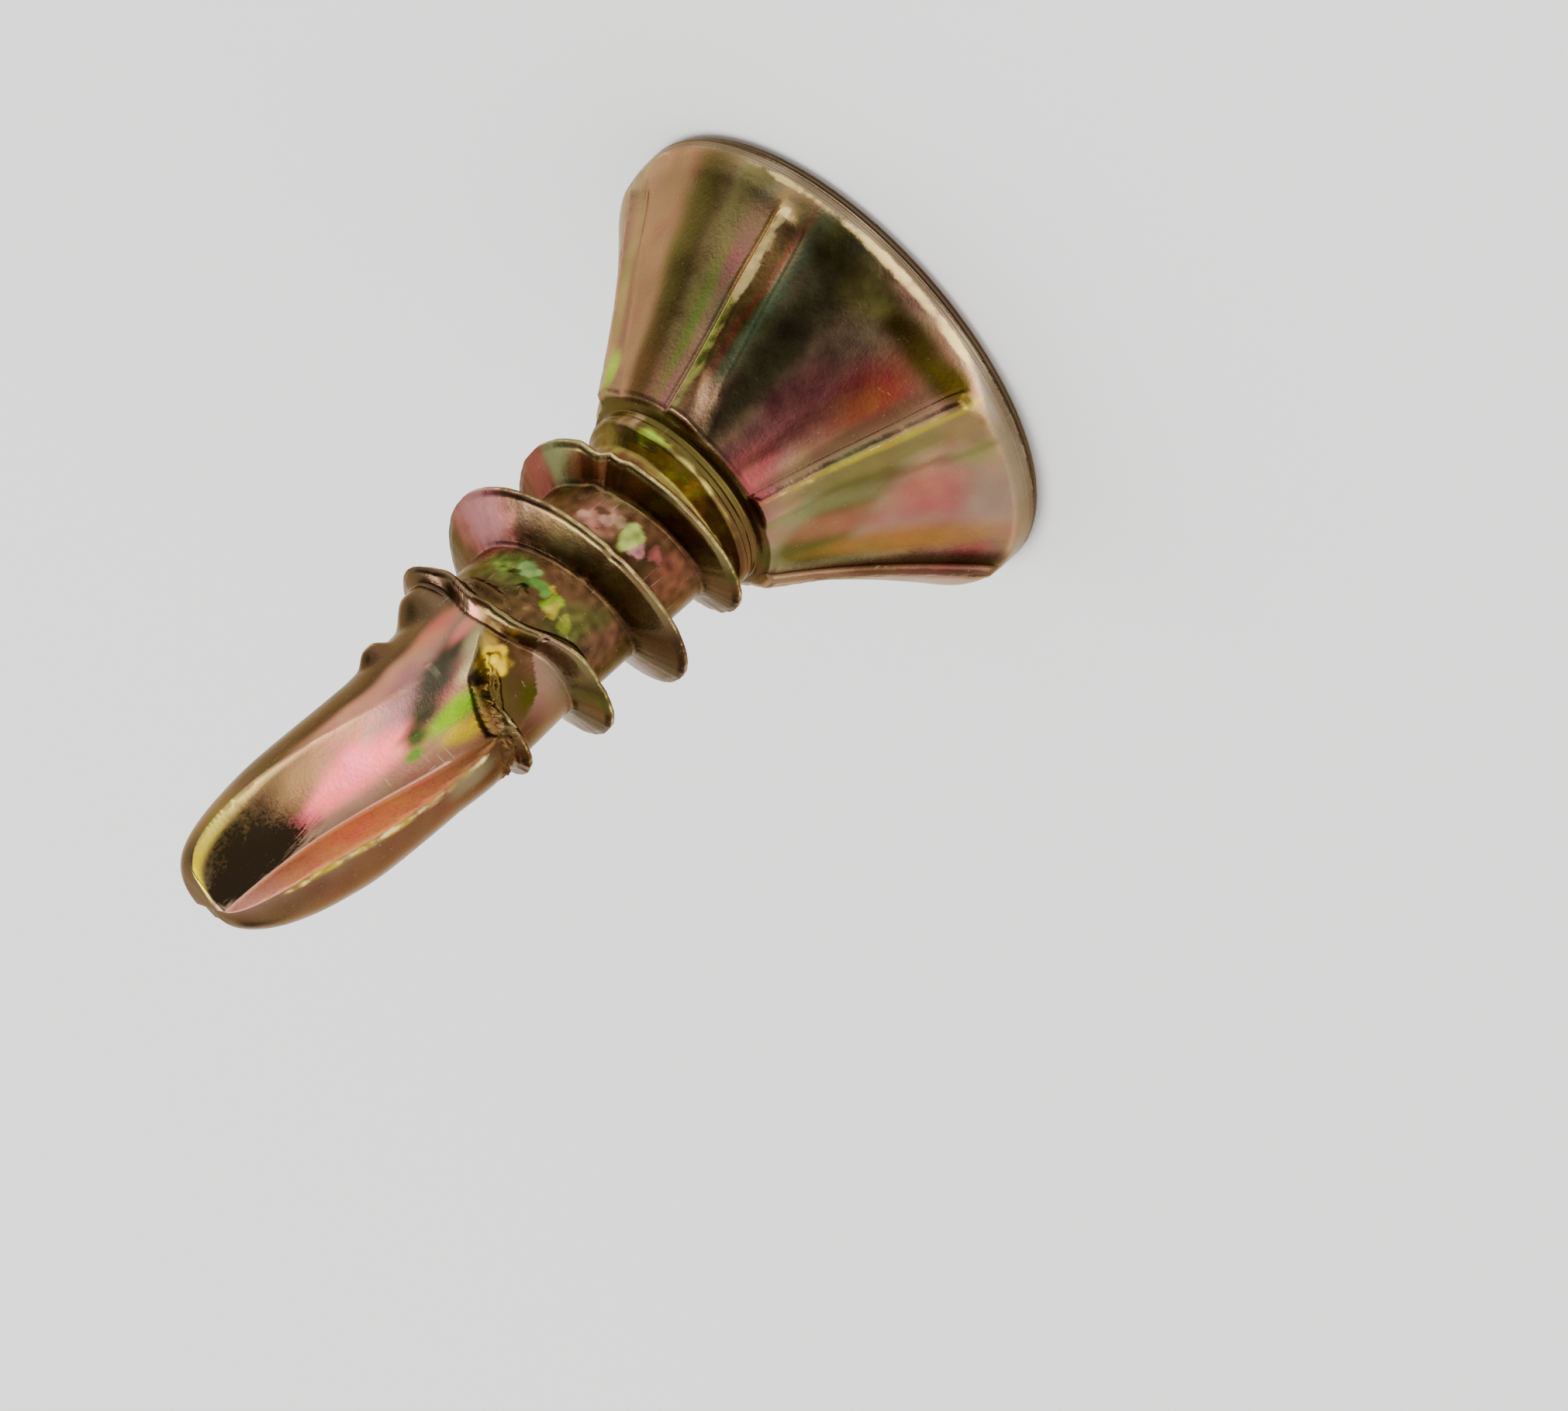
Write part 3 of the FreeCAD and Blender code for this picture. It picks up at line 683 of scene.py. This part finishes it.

# Film on the drill: the same on both flutes, so azimuth counts from 0 to 180. Some of its dark and
# bright patches are painted reflections.
DRILL_FILM = (
    (162, 9.4, 28, 3.4, "#5c4630", 1.0), (142, 9.6, 9, 2.6, "#4c3824", 0.8),
    (176, 11.7, 22, 0.5, "#8c6c4c", 0.9), (105, 10.0, 28, 1.5, "#ff7078", 1.0),
    (132, 9.4, 8, 2.0, "#c08a68", 0.9), (130, 10.9, 14, 0.9, "#80603c", 0.9),
    (145, 11.8, 18, 0.5, "#7c6434", 0.9), (119, 9.3, 7, 0.35, "#c09c88", 0.6),
    (114, 8.7, 12, 0.7, "#94706c", 0.85), (116, 7.85, 8, 0.42, "#403a2a", 1.0),
    (81, 8.38, 12, 0.52, "#648c00", 1.0), (62, 8.40, 9, 0.35, "#b09c00", 0.95),
    (110, 8.27, 12, 0.38, "#444034", 1.0), (100, 8.65, 14, 0.33, "#3c3828", 1.0),
    (88, 8.94, 11, 0.22, "#3c4420", 1.0), (73, 9.10, 8, 0.16, "#4c7420", 0.95),
    (98, 7.75, 6, 0.3, "#b8a878", 0.8), (136, 7.75, 8, 0.5, "#c8705c", 0.75),
    (126, 8.3, 7, 0.5, "#a87068", 0.8), (106, 7.42, 8, 0.35, "#a8a070", 0.8),
    (119, 7.42, 5, 0.4, "#d88070", 0.8), (30, 9.9, 26, 3.4, "#6c4832", 1.0),
    (30, 8.1, 30, 0.7, "#482a18", 1.0), (38, 8.75, 10, 0.4, "#8c8060", 0.6),
    (30, 11.9, 24, 0.6, "#74583c", 0.85))

# Dark patches in the flutes, as azimuth, height, half sizes and depth.
DARK_FLUTE_PATCHES = ((105, 11.80, 66, 1.15, 1.3), (97, 8.85, 8, 0.45, 0.6))


def mixed(under, over, share):
    """The under colours, with this share of the over ones at each point."""
    return under + (over - under) * share[:, None]


def painted(azimuth, z, under, patches, period=360.0, edge=(0.35, 1.45)):
    """The film with each patch laid over it in turn. Edge is where a patch starts to thin and
    where it ends."""
    for *place, code, cover in patches:
        share = cover * (1.0 - ease(*edge, away_from(azimuth, z, place, period)))
        under = mixed(under, np.array(linear(code)), share)
    return under


def blended(place, codes):
    """A colour between these, evenly spaced from -1 to 1."""
    stops = np.linspace(-1.0, 1.0, len(codes))
    values = np.array([linear(code) for code in codes])
    return np.stack([np.interp(place, stops, values[:, k]) for k in range(4)], axis=1)


def thread_film(azimuth, z, points, drift, wander):
    """Film on the neck, thread and core, lighter on the lit flanks, uneven on the core and with
    painted glints on its torn facets.
    """
    x, y = points[:, 0], points[:, 1]
    radius = np.hypot(x, y)
    brown = blended(1.6 * drift + 0.9 * wander, (UMBER, "#5c3e26", "#64462c", "#545028", UMBER))
    ragged = grain(x, y, z, 0.16, 50.0)
    film = painted(azimuth + 5.0 * wander + 6.0 * ragged, z + 0.10 * ragged, brown, THREAD_FILM)
    film = painted(azimuth + 5.0 * ragged, z + 0.12 * grain(x, y, z, 0.2, 60.0), film, FACET_GLINTS,
                   edge=(0.8, 1.1))
    flank = 0.5 * ease(1.28, 1.42, radius) * ease(3.9, 4.1, z) * (azimuth < 332.0)
    flank = flank * ease(215.0, 235.0, azimuth)
    flank = flank * (1.0 - ease(288.0, 302.0, azimuth) * ease(5.1, 5.3, z))
    film = mixed(film, np.array(linear("#a08c5c")), flank)
    crumpled = ease(1.34, 1.26, radius) * ease(3.9, 4.1, z) * ease(7.4, 7.1, z)
    return film * (1.0 - 0.12 * crumpled + 0.6 * crumpled * grain(x, y, z, 0.13, 88.0))[:, None]


def drill_film(azimuth, z, points, drift, wander):
    """Film on the drill: body and flutes, sheared walls, painted glints along the cutting edges
    and painted highlights along the heels.
    """
    x, y = points[:, 0], points[:, 1]
    # The body's browns are darkened to paint in a darker reflection on its upright sides.
    body = blended(2.0 * drift + 0.5 * wander, ("#8c604c", "#94705a", "#8a7058", "#7c6c50"))
    high = z + 0.07 * grain(x, y, z, 0.5, 30.0)
    film = painted((azimuth + 3.0 * wander) % 180.0, high, body, DRILL_FILM, 180.0)
    off_wall = beside_wall(azimuth, z)
    wall = blended(np.interp(z, (8.2, 9.2, 11.2, 12.4), (-1.0, -0.3, 0.3, 1.0)),
                   (BROWN, "#b0704c", "#d88854", "#e09064", "#f4b09c"))
    film = mixed(film, wall, (np.abs(off_wall + 0.75) < 1.15) * (z > 8.1))
    # A broken yellow band beside each cutting edge is painted glints.
    edge_glint = (1.0 - ease(0.5, 1.2, np.abs(off_wall + 5.0) / 3.0)) * ease(8.4, 8.7, z)
    edge_glint = edge_glint * np.clip(0.6 + 1.2 * grain(x, y, z, 0.25, 91.0), 0.0, 1.0) * ease(12.0, 11.6, z)
    film = mixed(film, np.array(linear("#b8a020")), 0.85 * edge_glint)
    foot = (np.abs(off_wall - 1.4) < 1.1) * (z > 8.8)
    film = mixed(film, np.array(linear("#f0b8a8")), 0.5 * foot)
    # A bright band along each heel, cream up to yellow at the tip, is a painted highlight.
    deep = flute_depth(azimuth, z, points)
    across = (azimuth - wall_azimuth(z)) % 180.0
    broad = np.interp(z, (9.0, 10.5, 11.3, 12.2), (0.06, 0.14, 0.22, 0.30))
    heel = (1.0 - ease(0.35, 1.0, deep / broad)) * ease(0.0, 0.02, deep)
    heel = heel * ease(50.0, 65.0, across) * ease(178.0, 170.0, across)
    heel = heel * ease(8.3, 9.0, z) * ease(0.2, 0.38, np.hypot(x, y))
    lit = blended(np.interp(z, (9.0, 10.6, 11.5, 12.3), (-1.0, -0.33, 0.33, 1.0)),
                  ("#c8906c", "#d8a878", "#ecd070", "#d0b400"))
    return mixed(film, lit, 0.95 * heel)


def film_colours(azimuth, z, points, face):
    """Colour of the film at each point, with painted reflections in it. Face is 1 on the head's
    face, 0 elsewhere.
    """
    x, y = points[:, 0], points[:, 1]
    drift = grain(x, y, z, 1.4, 3.7)
    wander = grain(x, y, z, 0.6, 9.2)
    plain = blended(1.8 * drift + 0.3 * wander, (ROSE, DUSTY, TAN, TAN, "#9a9068", OLIVE))
    head = blended(2.0 * drift + 0.9 * wander, (RED, ROSE, ROSE, DUSTY, LILAC, SAGE, OLIVE))
    high = z + 0.035 * grain(x, y, z, 0.5, 30.0)
    cone = painted(azimuth + 0.9 * wander, high, plain, CONE_FILM)
    thread = thread_film(azimuth, z, points, drift, wander)
    film = np.where((z < 3.24)[:, None], cone, thread)
    past = past_exit(azimuth, z)
    fluted = np.maximum(ease(-0.08, 0.02, past) * ease(6.7, 6.9, z), ease(8.1, 8.35, z))
    film = mixed(film, drill_film(azimuth, z, points, drift, wander), fluted)
    pale = np.minimum(1.5 * wander + 8.0 * (z - 0.3), 1.0 - 1.6 * ease(240.0, 230.0, azimuth))
    land = blended(pale, ("#7c6850", "#988468", "#a8987c", "#b0a488"))
    corner = 0.52 - 0.22 * rolled(azimuth)
    film = mixed(film, land, (1.0 - ease(-0.05, 0.05, z - corner)) * (1.0 - face))
    return mixed(film, head, face)


def flute_depth(azimuth, z, points):
    """How deep the flutes are cut at each point of the drill, in millimetres."""
    return point_radius(DRILL_RADIUS, azimuth, z) - np.hypot(points[:, 0], points[:, 1])


def sheared(azimuth, z):
    """Where the flutes' walls tore off the die, and so stayed matt: 1 is fully matt."""
    off_wall = np.abs(signed(azimuth - wall_azimuth(z) + 0.8, 180.0))
    return (1.0 - ease(1.0, 2.5, off_wall)) * ease(8.1, 8.6, z)


def dirt_and_shade(azimuth, z, points, recess):
    """Dark crumbs of grime all over, dark patches in the flutes, a painted shadow along the
    thread's roots and painted shade down the recess: 1 is fully dark.
    """
    x, y = points[:, 0], points[:, 1]
    dark = 0.18 + 0.14 * grain(x, y, z, 0.35, 14.0)
    turned = (azimuth + 4.0 * grain(x, y, 0.3 * z, 0.25, 17.0)) % 180.0
    streaks = grain(0.014 * azimuth + 0.35 * z, 0.0 * z, 0.12 * z, 0.035, 71.0)
    left = (1.0 - 0.35 * np.maximum(streaks, 0.0)) * ease(1.0, 6.0, past_wall(azimuth, z))
    left = left * ease(0.14, 0.30, flute_depth(azimuth, z, points) + 0.05 * streaks)
    for *place, depth in DARK_FLUTE_PATCHES:
        hairs = streaks * ease(5.0, -25.0, signed(turned - place[0], 180.0))
        away = away_from(turned, z, place, 180.0) + 0.45 * hairs
        dark = np.maximum(dark, depth * (1.0 - ease(0.45, 1.25, away)) * left)
    # A painted shadow along the thread's roots, where each flank meets the core.
    foot = CREST_HALF + (np.interp(z, CREST_HEIGHTS, CREST_RADII) - CORE_RADIUS) / FLANK_SLOPE
    root = 1.0 - ease(0.01, 0.08, np.abs(from_crest(azimuth, z) - foot - 0.03))
    root = 0.7 * root * ease(3.7, 3.9, z) * ease(7.6, 7.2, z)
    dark = np.maximum(dark, root * (0.55 + 0.5 * grain(x, y, z, 0.15, 57.0)))
    # The recess gets painted shade, deepening to full at 0.9 mm deep.
    return np.maximum(dark - 0.45 * sheared(azimuth, z), recess * ease(0.0, 0.9, z))


def worn_and_highlit_edges(azimuth, z, points):
    """Where handling and the tools wore the film off on the ribs, crests and cutting edges, which
    also carry painted highlight, and a painted highlight along the rim's corner.
    """
    x, y = points[:, 0], points[:, 1]
    radius = np.hypot(x, y)
    battered = np.abs(azimuth - BATTERED) < 20.0
    rib = 1.3 - np.abs(rib_aside(azimuth, radius) + 0.085) / np.where(battered, 0.10, 0.030)
    rib = np.clip(rib, 0.0, 1.0) * ease(0.5, 0.7, z) * (z < 3.22)
    rib = rib * np.where(battered, 1.0 - 0.7 * ease(1.7, 2.2, z), 0.5)
    # The rim's band is a painted highlight along its corner, brightest between about 245 and 315
    # degrees.
    side = np.abs(signed(azimuth - 280.0))
    lit = 0.44 - 0.34 * ease(245.0, 236.0, azimuth) + 0.65 * (1.0 - ease(24.0, 36.0, side))
    broad = 0.05 + 0.04 * ease(300.0, 270.0, azimuth) * ease(246.0, 254.0, azimuth)
    corner = 0.55 - 0.21 * rolled(azimuth)
    rim = np.clip(1.3 - np.abs(z - corner) / broad, 0.0, 1.0) * (radius > 3.4)
    rim = rim * (lit + 0.6 * grain(x, y, z, 0.5, 45.0))
    edge = np.clip(1.2 - np.abs(beside_wall(azimuth, z) + 4.6) / 3.0, 0.0, 1.0)
    edge = edge * (0.60 + 1.2 * grain(x, y, z, 0.4, 43.0))
    edge = edge * ease(8.1, 8.5, z) * (1.0 - ease(11.4, 12.0, z))
    crest = 0.55 * np.clip(1.2 - from_crest(azimuth, z) / 0.04, 0.0, 1.0)
    crest = crest * (z > 3.9) * (z < 8.6) * (radius > 1.3)
    nibbled = 0.78 + 0.55 * grain(x, y, z, 0.11, 40.0) + 0.45 * grain(x, y, z, 0.45, 41.0)
    return np.clip(np.maximum.reduce([rib, rim, edge, crest]) * nibbled, 0.0, 1.0)


# Mesh


def screw_faces(count, thread_first, thread_last):
    """Faces between the rings and at both ends. The thread's are triangles, as its rows rise
    and fall from column to column."""
    pairs = list(zip(columns.tolist(), ((columns + 1) % COLUMNS).tolist()))
    faces = []
    for row in range(count - 1):
        here = row * COLUMNS
        above = here + COLUMNS
        for one, two in pairs:
            corners = (here + one, here + two, above + two, above + one)
            if thread_first <= row < thread_last:
                faces += [corners[:3], (corners[0], *corners[2:])]
            else:
                faces.append(corners)
    bottom = count * COLUMNS
    last = bottom - COLUMNS
    for one, two in pairs:
        faces += [(two, one, bottom), (last + one, last + two, bottom + 1)]
    return faces


def screw_mesh():
    """The screw's mesh, with what its finish needs to know at each point."""
    rings, recess_count, thread_first, thread_last = screw_rings()
    azimuth, radius, height = np.moveaxis(np.array(rings), 1, 0)
    points = np.stack([*flat_place(azimuth, radius), height], axis=-1).reshape(-1, 3)
    points = np.concatenate([points, [[0.0, 0.0, RECESS_BOTTOM]], [[0.0, 0.0, TIP]]])
    z = points[:, 2]
    # The drill is bent a little to one side.
    placed = points.copy()
    placed[:, 0] -= 0.07 * ease(6.6, 8.6, z) * ease(11.2, 8.6, z)
    mesh = bpy.data.meshes.new("screw")
    faces = screw_faces(len(rings), thread_first, thread_last)
    mesh.from_pydata((placed / 1000.0).tolist(), [], faces)
    mesh.shade_smooth()
    azimuth = np.degrees(np.arctan2(points[:, 1], points[:, 0])) % 360.0
    recess = np.zeros(len(points))
    recess[:recess_count * COLUMNS] = 1.0
    recess[-2] = 1.0
    face = ease(3.72, 3.62, np.hypot(points[:, 0], points[:, 1])) * (z < 0.2)
    # The film colours hold painted reflections as well as the film's own colours.
    film = mesh.attributes.new("film", "FLOAT_COLOR", "POINT")
    film.data.foreach_set("color", film_colours(azimuth, z, points, face).ravel())
    for name, values in (("dirt_and_shade", dirt_and_shade(azimuth, z, points, recess)),
                         ("worn", worn_and_highlit_edges(azimuth, z, points)),
                         ("sheared", sheared(azimuth, z))):
        mesh.attributes.new(name, "FLOAT", "POINT").data.foreach_set("value", values)
    return mesh


screw = bpy.data.objects.new("zinc_screw", screw_mesh())
bpy.context.scene.collection.objects.link(screw)
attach(screw, "root")
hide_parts("window_frame_screw")

# Finish: steel plated with zinc and dipped in yellow chromate. The film is thin enough to show
# interference colours, so its look runs from bare silver through gold, rose and lilac to green
# as it thickens. It is glossy where it lies smooth, satin where the forming tools left grain.


def add(tree, kind, settings=None, links=None):
    """One node with its settings, and its inputs linked or filled."""
    node = tree.nodes.new(kind)
    for name, value in (settings or {}).items():
        setattr(node, name, value)
    for socket, value in (links or {}).items():
        if isinstance(value, bpy.types.NodeSocket):
            tree.links.new(value, node.inputs[socket])
        else:
            node.inputs[socket].default_value = value
    return node


def yellow_zinc():
    """Zinc plating under its chromate film, with crumbs of grime, painted shade, scratches, and
    worn edges with painted highlights.
    """
    material = bpy.data.materials.new("yellow_zinc")
    material.use_nodes = True
    tree = material.node_tree
    shader = tree.nodes["Principled BSDF"]
    shader.inputs["Metallic"].default_value = 1.0
    shader.inputs["Specular Tint"].default_value = linear("#dccebc")
    place = add(tree, "ShaderNodeTexCoord").outputs["Object"]
    # The film is mottled in lumps of 0.5 mm, and its crystals and crumbs of dirt are 0.06 mm.
    mottle = add(tree, "ShaderNodeTexNoise", {}, {
        "Vector": place, "Scale": 1000 / 0.5, "Detail": 4.0, "Roughness": 0.6}).outputs["Fac"]
    fine = add(tree, "ShaderNodeTexNoise", {}, {
        "Vector": place, "Scale": 1000 / 0.06, "Detail": 3.0, "Roughness": 0.65}).outputs["Fac"]
    film = add(tree, "ShaderNodeAttribute", {"attribute_name": "film"}).outputs["Color"]
    dark = add(tree, "ShaderNodeAttribute", {"attribute_name": "dirt_and_shade"}).outputs["Fac"]
    # The worn attribute holds film worn off and painted highlight together.
    worn = add(tree, "ShaderNodeAttribute", {"attribute_name": "worn"}).outputs["Fac"]
    matt = add(tree, "ShaderNodeAttribute", {"attribute_name": "sheared"}).outputs["Fac"]
    warm = add(tree, "ShaderNodeMapRange", {}, {
        "Value": mottle, "From Min": 0.35, "From Max": 0.65, "To Min": 0.487, "To Max": 0.513})
    bright = add(tree, "ShaderNodeMapRange", {}, {
        "Value": fine, "From Min": 0.3, "From Max": 0.7, "To Min": 0.78, "To Max": 1.24})
    hued = add(tree, "ShaderNodeHueSaturation", {}, {
        "Hue": warm.outputs[0], "Value": bright.outputs[0], "Color": film}).outputs["Color"]
    rubbed_and_highlit = add(tree, "ShaderNodeMapRange", {"interpolation_type": "SMOOTHSTEP"}, {
        "Value": add(tree, "ShaderNodeMath", {"operation": "MULTIPLY_ADD"}, {
            0: fine, 1: 0.5, 2: worn}).outputs[0],
        "From Min": 0.5, "From Max": 1.05})
    # The rolling tool left lines round the rim's land, 0.035 mm apart.
    height = add(tree, "ShaderNodeSeparateXYZ", {}, {"Vector": place}).outputs["Z"]
    lines = add(tree, "ShaderNodeTexNoise", {"noise_dimensions": "1D"}, {
        "W": height, "Scale": 1000 / 0.035, "Detail": 2.0}).outputs["Fac"]
    low = add(tree, "ShaderNodeMapRange", {}, {
        "Value": height, "From Min": 0.00030, "From Max": 0.00042, "To Min": 0.75, "To Max": 0.0})
    lines = add(tree, "ShaderNodeMapRange", {}, {
        "Value": lines, "From Min": 0.45, "From Max": 0.60}).outputs[0]
    lined = add(tree, "ShaderNodeMath", {"operation": "MULTIPLY"}, {0: low.outputs[0], 1: lines})
    hued = add(tree, "ShaderNodeMix", {"data_type": "RGBA"}, {
        "Factor": lined.outputs[0], 6: hued, 7: linear("#6c5c48")}).outputs[2]
    # Scratches of 0.04 mm by 0.55 mm, at two slants.
    for lean, thin in ((0.3, (1.0, 14.0, 14.0)), (-0.5, (14.0, 14.0, 1.0))):
        slanted = add(tree, "ShaderNodeMapping", {}, {
            "Vector": place, "Rotation": (0.0, lean, 0.1), "Scale": thin})
        streak = add(tree, "ShaderNodeTexNoise", {}, {
            "Vector": slanted.outputs[0], "Scale": 1000 / 0.55, "Detail": 1.0}).outputs["Fac"]
        scratched = add(tree, "ShaderNodeMapRange", {}, {
            "Value": streak, "From Min": 0.72, "From Max": 0.80, "To Max": 0.25})
        hued = add(tree, "ShaderNodeMix", {"data_type": "RGBA"}, {
            "Factor": scratched.outputs[0], 6: hued, 7: linear("#c8bca0")}).outputs[2]
    # Dirt lies over the film in crumbs, and the same dark colour paints shade down the recess and
    # along the thread's roots.
    crumbs_and_shade = add(tree, "ShaderNodeMath", {"operation": "ADD"}, {0: fine, 1: dark})
    crumbs_and_shade = add(tree, "ShaderNodeMapRange", {}, {
        "Value": crumbs_and_shade.outputs[0], "From Min": 0.5, "From Max": 1.5})
    stained_and_shaded = add(tree, "ShaderNodeMix", {"data_type": "RGBA"}, {
        "Factor": crumbs_and_shade.outputs[0], 6: hued, 7: linear("#241c12")})
    # Rubbed places show the zinc itself, and the same pale colour paints highlights on the rim,
    # the ribs, the thread's crests and the cutting edges.
    pale_edged = add(tree, "ShaderNodeMix", {"data_type": "RGBA"}, {
        "Factor": rubbed_and_highlit.outputs[0], 6: stained_and_shaded.outputs[2], 7: linear("#e8cc88")})
    tree.links.new(pale_edged.outputs[2], shader.inputs["Base Color"])
    # Glossy film, duller along the worn and highlit edges and matt where the metal sheared.
    rough = add(tree, "ShaderNodeMapRange", {}, {
        "Value": mottle, "From Min": 0.3, "From Max": 0.7, "To Min": 0.2, "To Max": 0.34})
    rough = add(tree, "ShaderNodeMath", {"operation": "MULTIPLY_ADD"}, {
        0: rubbed_and_highlit.outputs[0], 1: 0.15, 2: rough.outputs[0]})
    rough = add(tree, "ShaderNodeMath", {"operation": "MULTIPLY_ADD"}, {
        0: matt, 1: 0.4, 2: rough.outputs[0]})
    tree.links.new(rough.outputs[0], shader.inputs["Roughness"])
    bump = add(tree, "ShaderNodeBump", {}, {
        "Height": fine, "Strength": 0.35, "Distance": 0.00001})
    tree.links.new(bump.outputs[0], shader.inputs["Normal"])
    return material


screw.data.materials.append(yellow_zinc())

# Floor, light and camera

floor_mesh = bpy.data.meshes.new("floor")
floor_mesh.from_pydata([(-3, -3, 0), (3, -3, 0), (3, 3, 0), (-3, 3, 0)], [], [(0, 1, 2, 3)])
floor = bpy.data.objects.new("floor", floor_mesh)
bpy.context.scene.collection.objects.link(floor)
paper = bpy.data.materials.new("white_paper")
paper.use_nodes = True
paper.node_tree.nodes["Principled BSDF"].inputs["Base Color"].default_value = (0.95, 0.95, 0.95, 1)
paper.node_tree.nodes["Principled BSDF"].inputs["Roughness"].default_value = 1.0
floor.data.materials.append(paper)

# The studio: a pale room with dark and bright openings, each given by its azimuth, elevation,
# half width in degrees and how many times the room's light comes through it.
OPENINGS = ((298, 50, 32, 0.16), (262, 52, 22, 0.45), (335, 60, 26, 0.25), (18, 38, 22, 0.10),
            (120, 4, 14, 0.10), (232, 2, 26, 4.0), (285, 12, 20, 3.2))


def studio():
    """Room light whose strength changes with the direction that it comes from."""
    world = bpy.data.worlds.new("studio")
    world.use_nodes = True
    tree = world.node_tree
    background = tree.nodes["Background"]
    way = add(tree, "ShaderNodeTexCoord").outputs["Generated"]
    level = None
    for azimuth, elevation, half, left in OPENINGS:
        a, e = math.radians(azimuth), math.radians(elevation)
        middle = (math.cos(a) * math.cos(e), math.sin(a) * math.cos(e), math.sin(e))
        near = add(tree, "ShaderNodeVectorMath", {"operation": "DOT_PRODUCT"}, {
            0: way, 1: middle})
        inner = math.cos(math.radians(half * 0.55))
        outer = math.cos(math.radians(half * 1.25))
        shade = add(tree, "ShaderNodeMapRange", {"interpolation_type": "SMOOTHSTEP"}, {
            "Value": near.outputs["Value"], "From Min": outer, "From Max": inner,
            "To Min": 1.0, "To Max": left})
        if level is None:
            level = shade.outputs[0]
        else:
            level = add(tree, "ShaderNodeMath", {"operation": "MULTIPLY"}, {
                0: level, 1: shade.outputs[0]}).outputs[0]
    strength = add(tree, "ShaderNodeMath", {"operation": "MULTIPLY"}, {0: level, 1: 1.2})
    tree.links.new(strength.outputs[0], background.inputs["Strength"])
    background.inputs["Color"].default_value = (1, 0.985, 0.96, 1)
    bpy.context.scene.world = world


studio()


def soft_light(name, azimuth, elevation, distance, size, power):
    """A square softbox that looks at the screw."""
    light = bpy.data.lights.new(name, "AREA")
    light.size = size
    light.energy = power
    lamp = bpy.data.objects.new(name, light)
    a, e = math.radians(azimuth), math.radians(elevation)
    way = Vector((math.cos(a) * math.cos(e), math.sin(a) * math.cos(e), math.sin(e)))
    lamp.location = way * distance
    lamp.rotation_euler = way.to_track_quat("Z", "Y").to_euler()
    bpy.context.scene.collection.objects.link(lamp)


soft_light("top_light", 60, 75, 0.8, 0.5, 7.0)

# The camera's place, turn and lens are fitted to the photo's outline: it looks down on the
# screw and is rolled.
lens = bpy.data.cameras.new("lens")
lens.lens = 224.6
lens.sensor_width = 36.0
lens.clip_start = 0.01
camera = bpy.data.objects.new("camera", lens)
right = Vector((-0.6735, -0.2935, -0.678)).normalized()
up = Vector((0.7391, -0.2675, -0.618)).normalized()
back = right.cross(up).normalized()
up = back.cross(right).normalized()
turn = Matrix((right, up, back)).transposed().to_4x4()
camera.matrix_world = Matrix.Translation(Vector((-0.00313, -0.1238, 0.0579))) @ turn
bpy.context.scene.collection.objects.link(camera)
bpy.context.scene.camera = camera
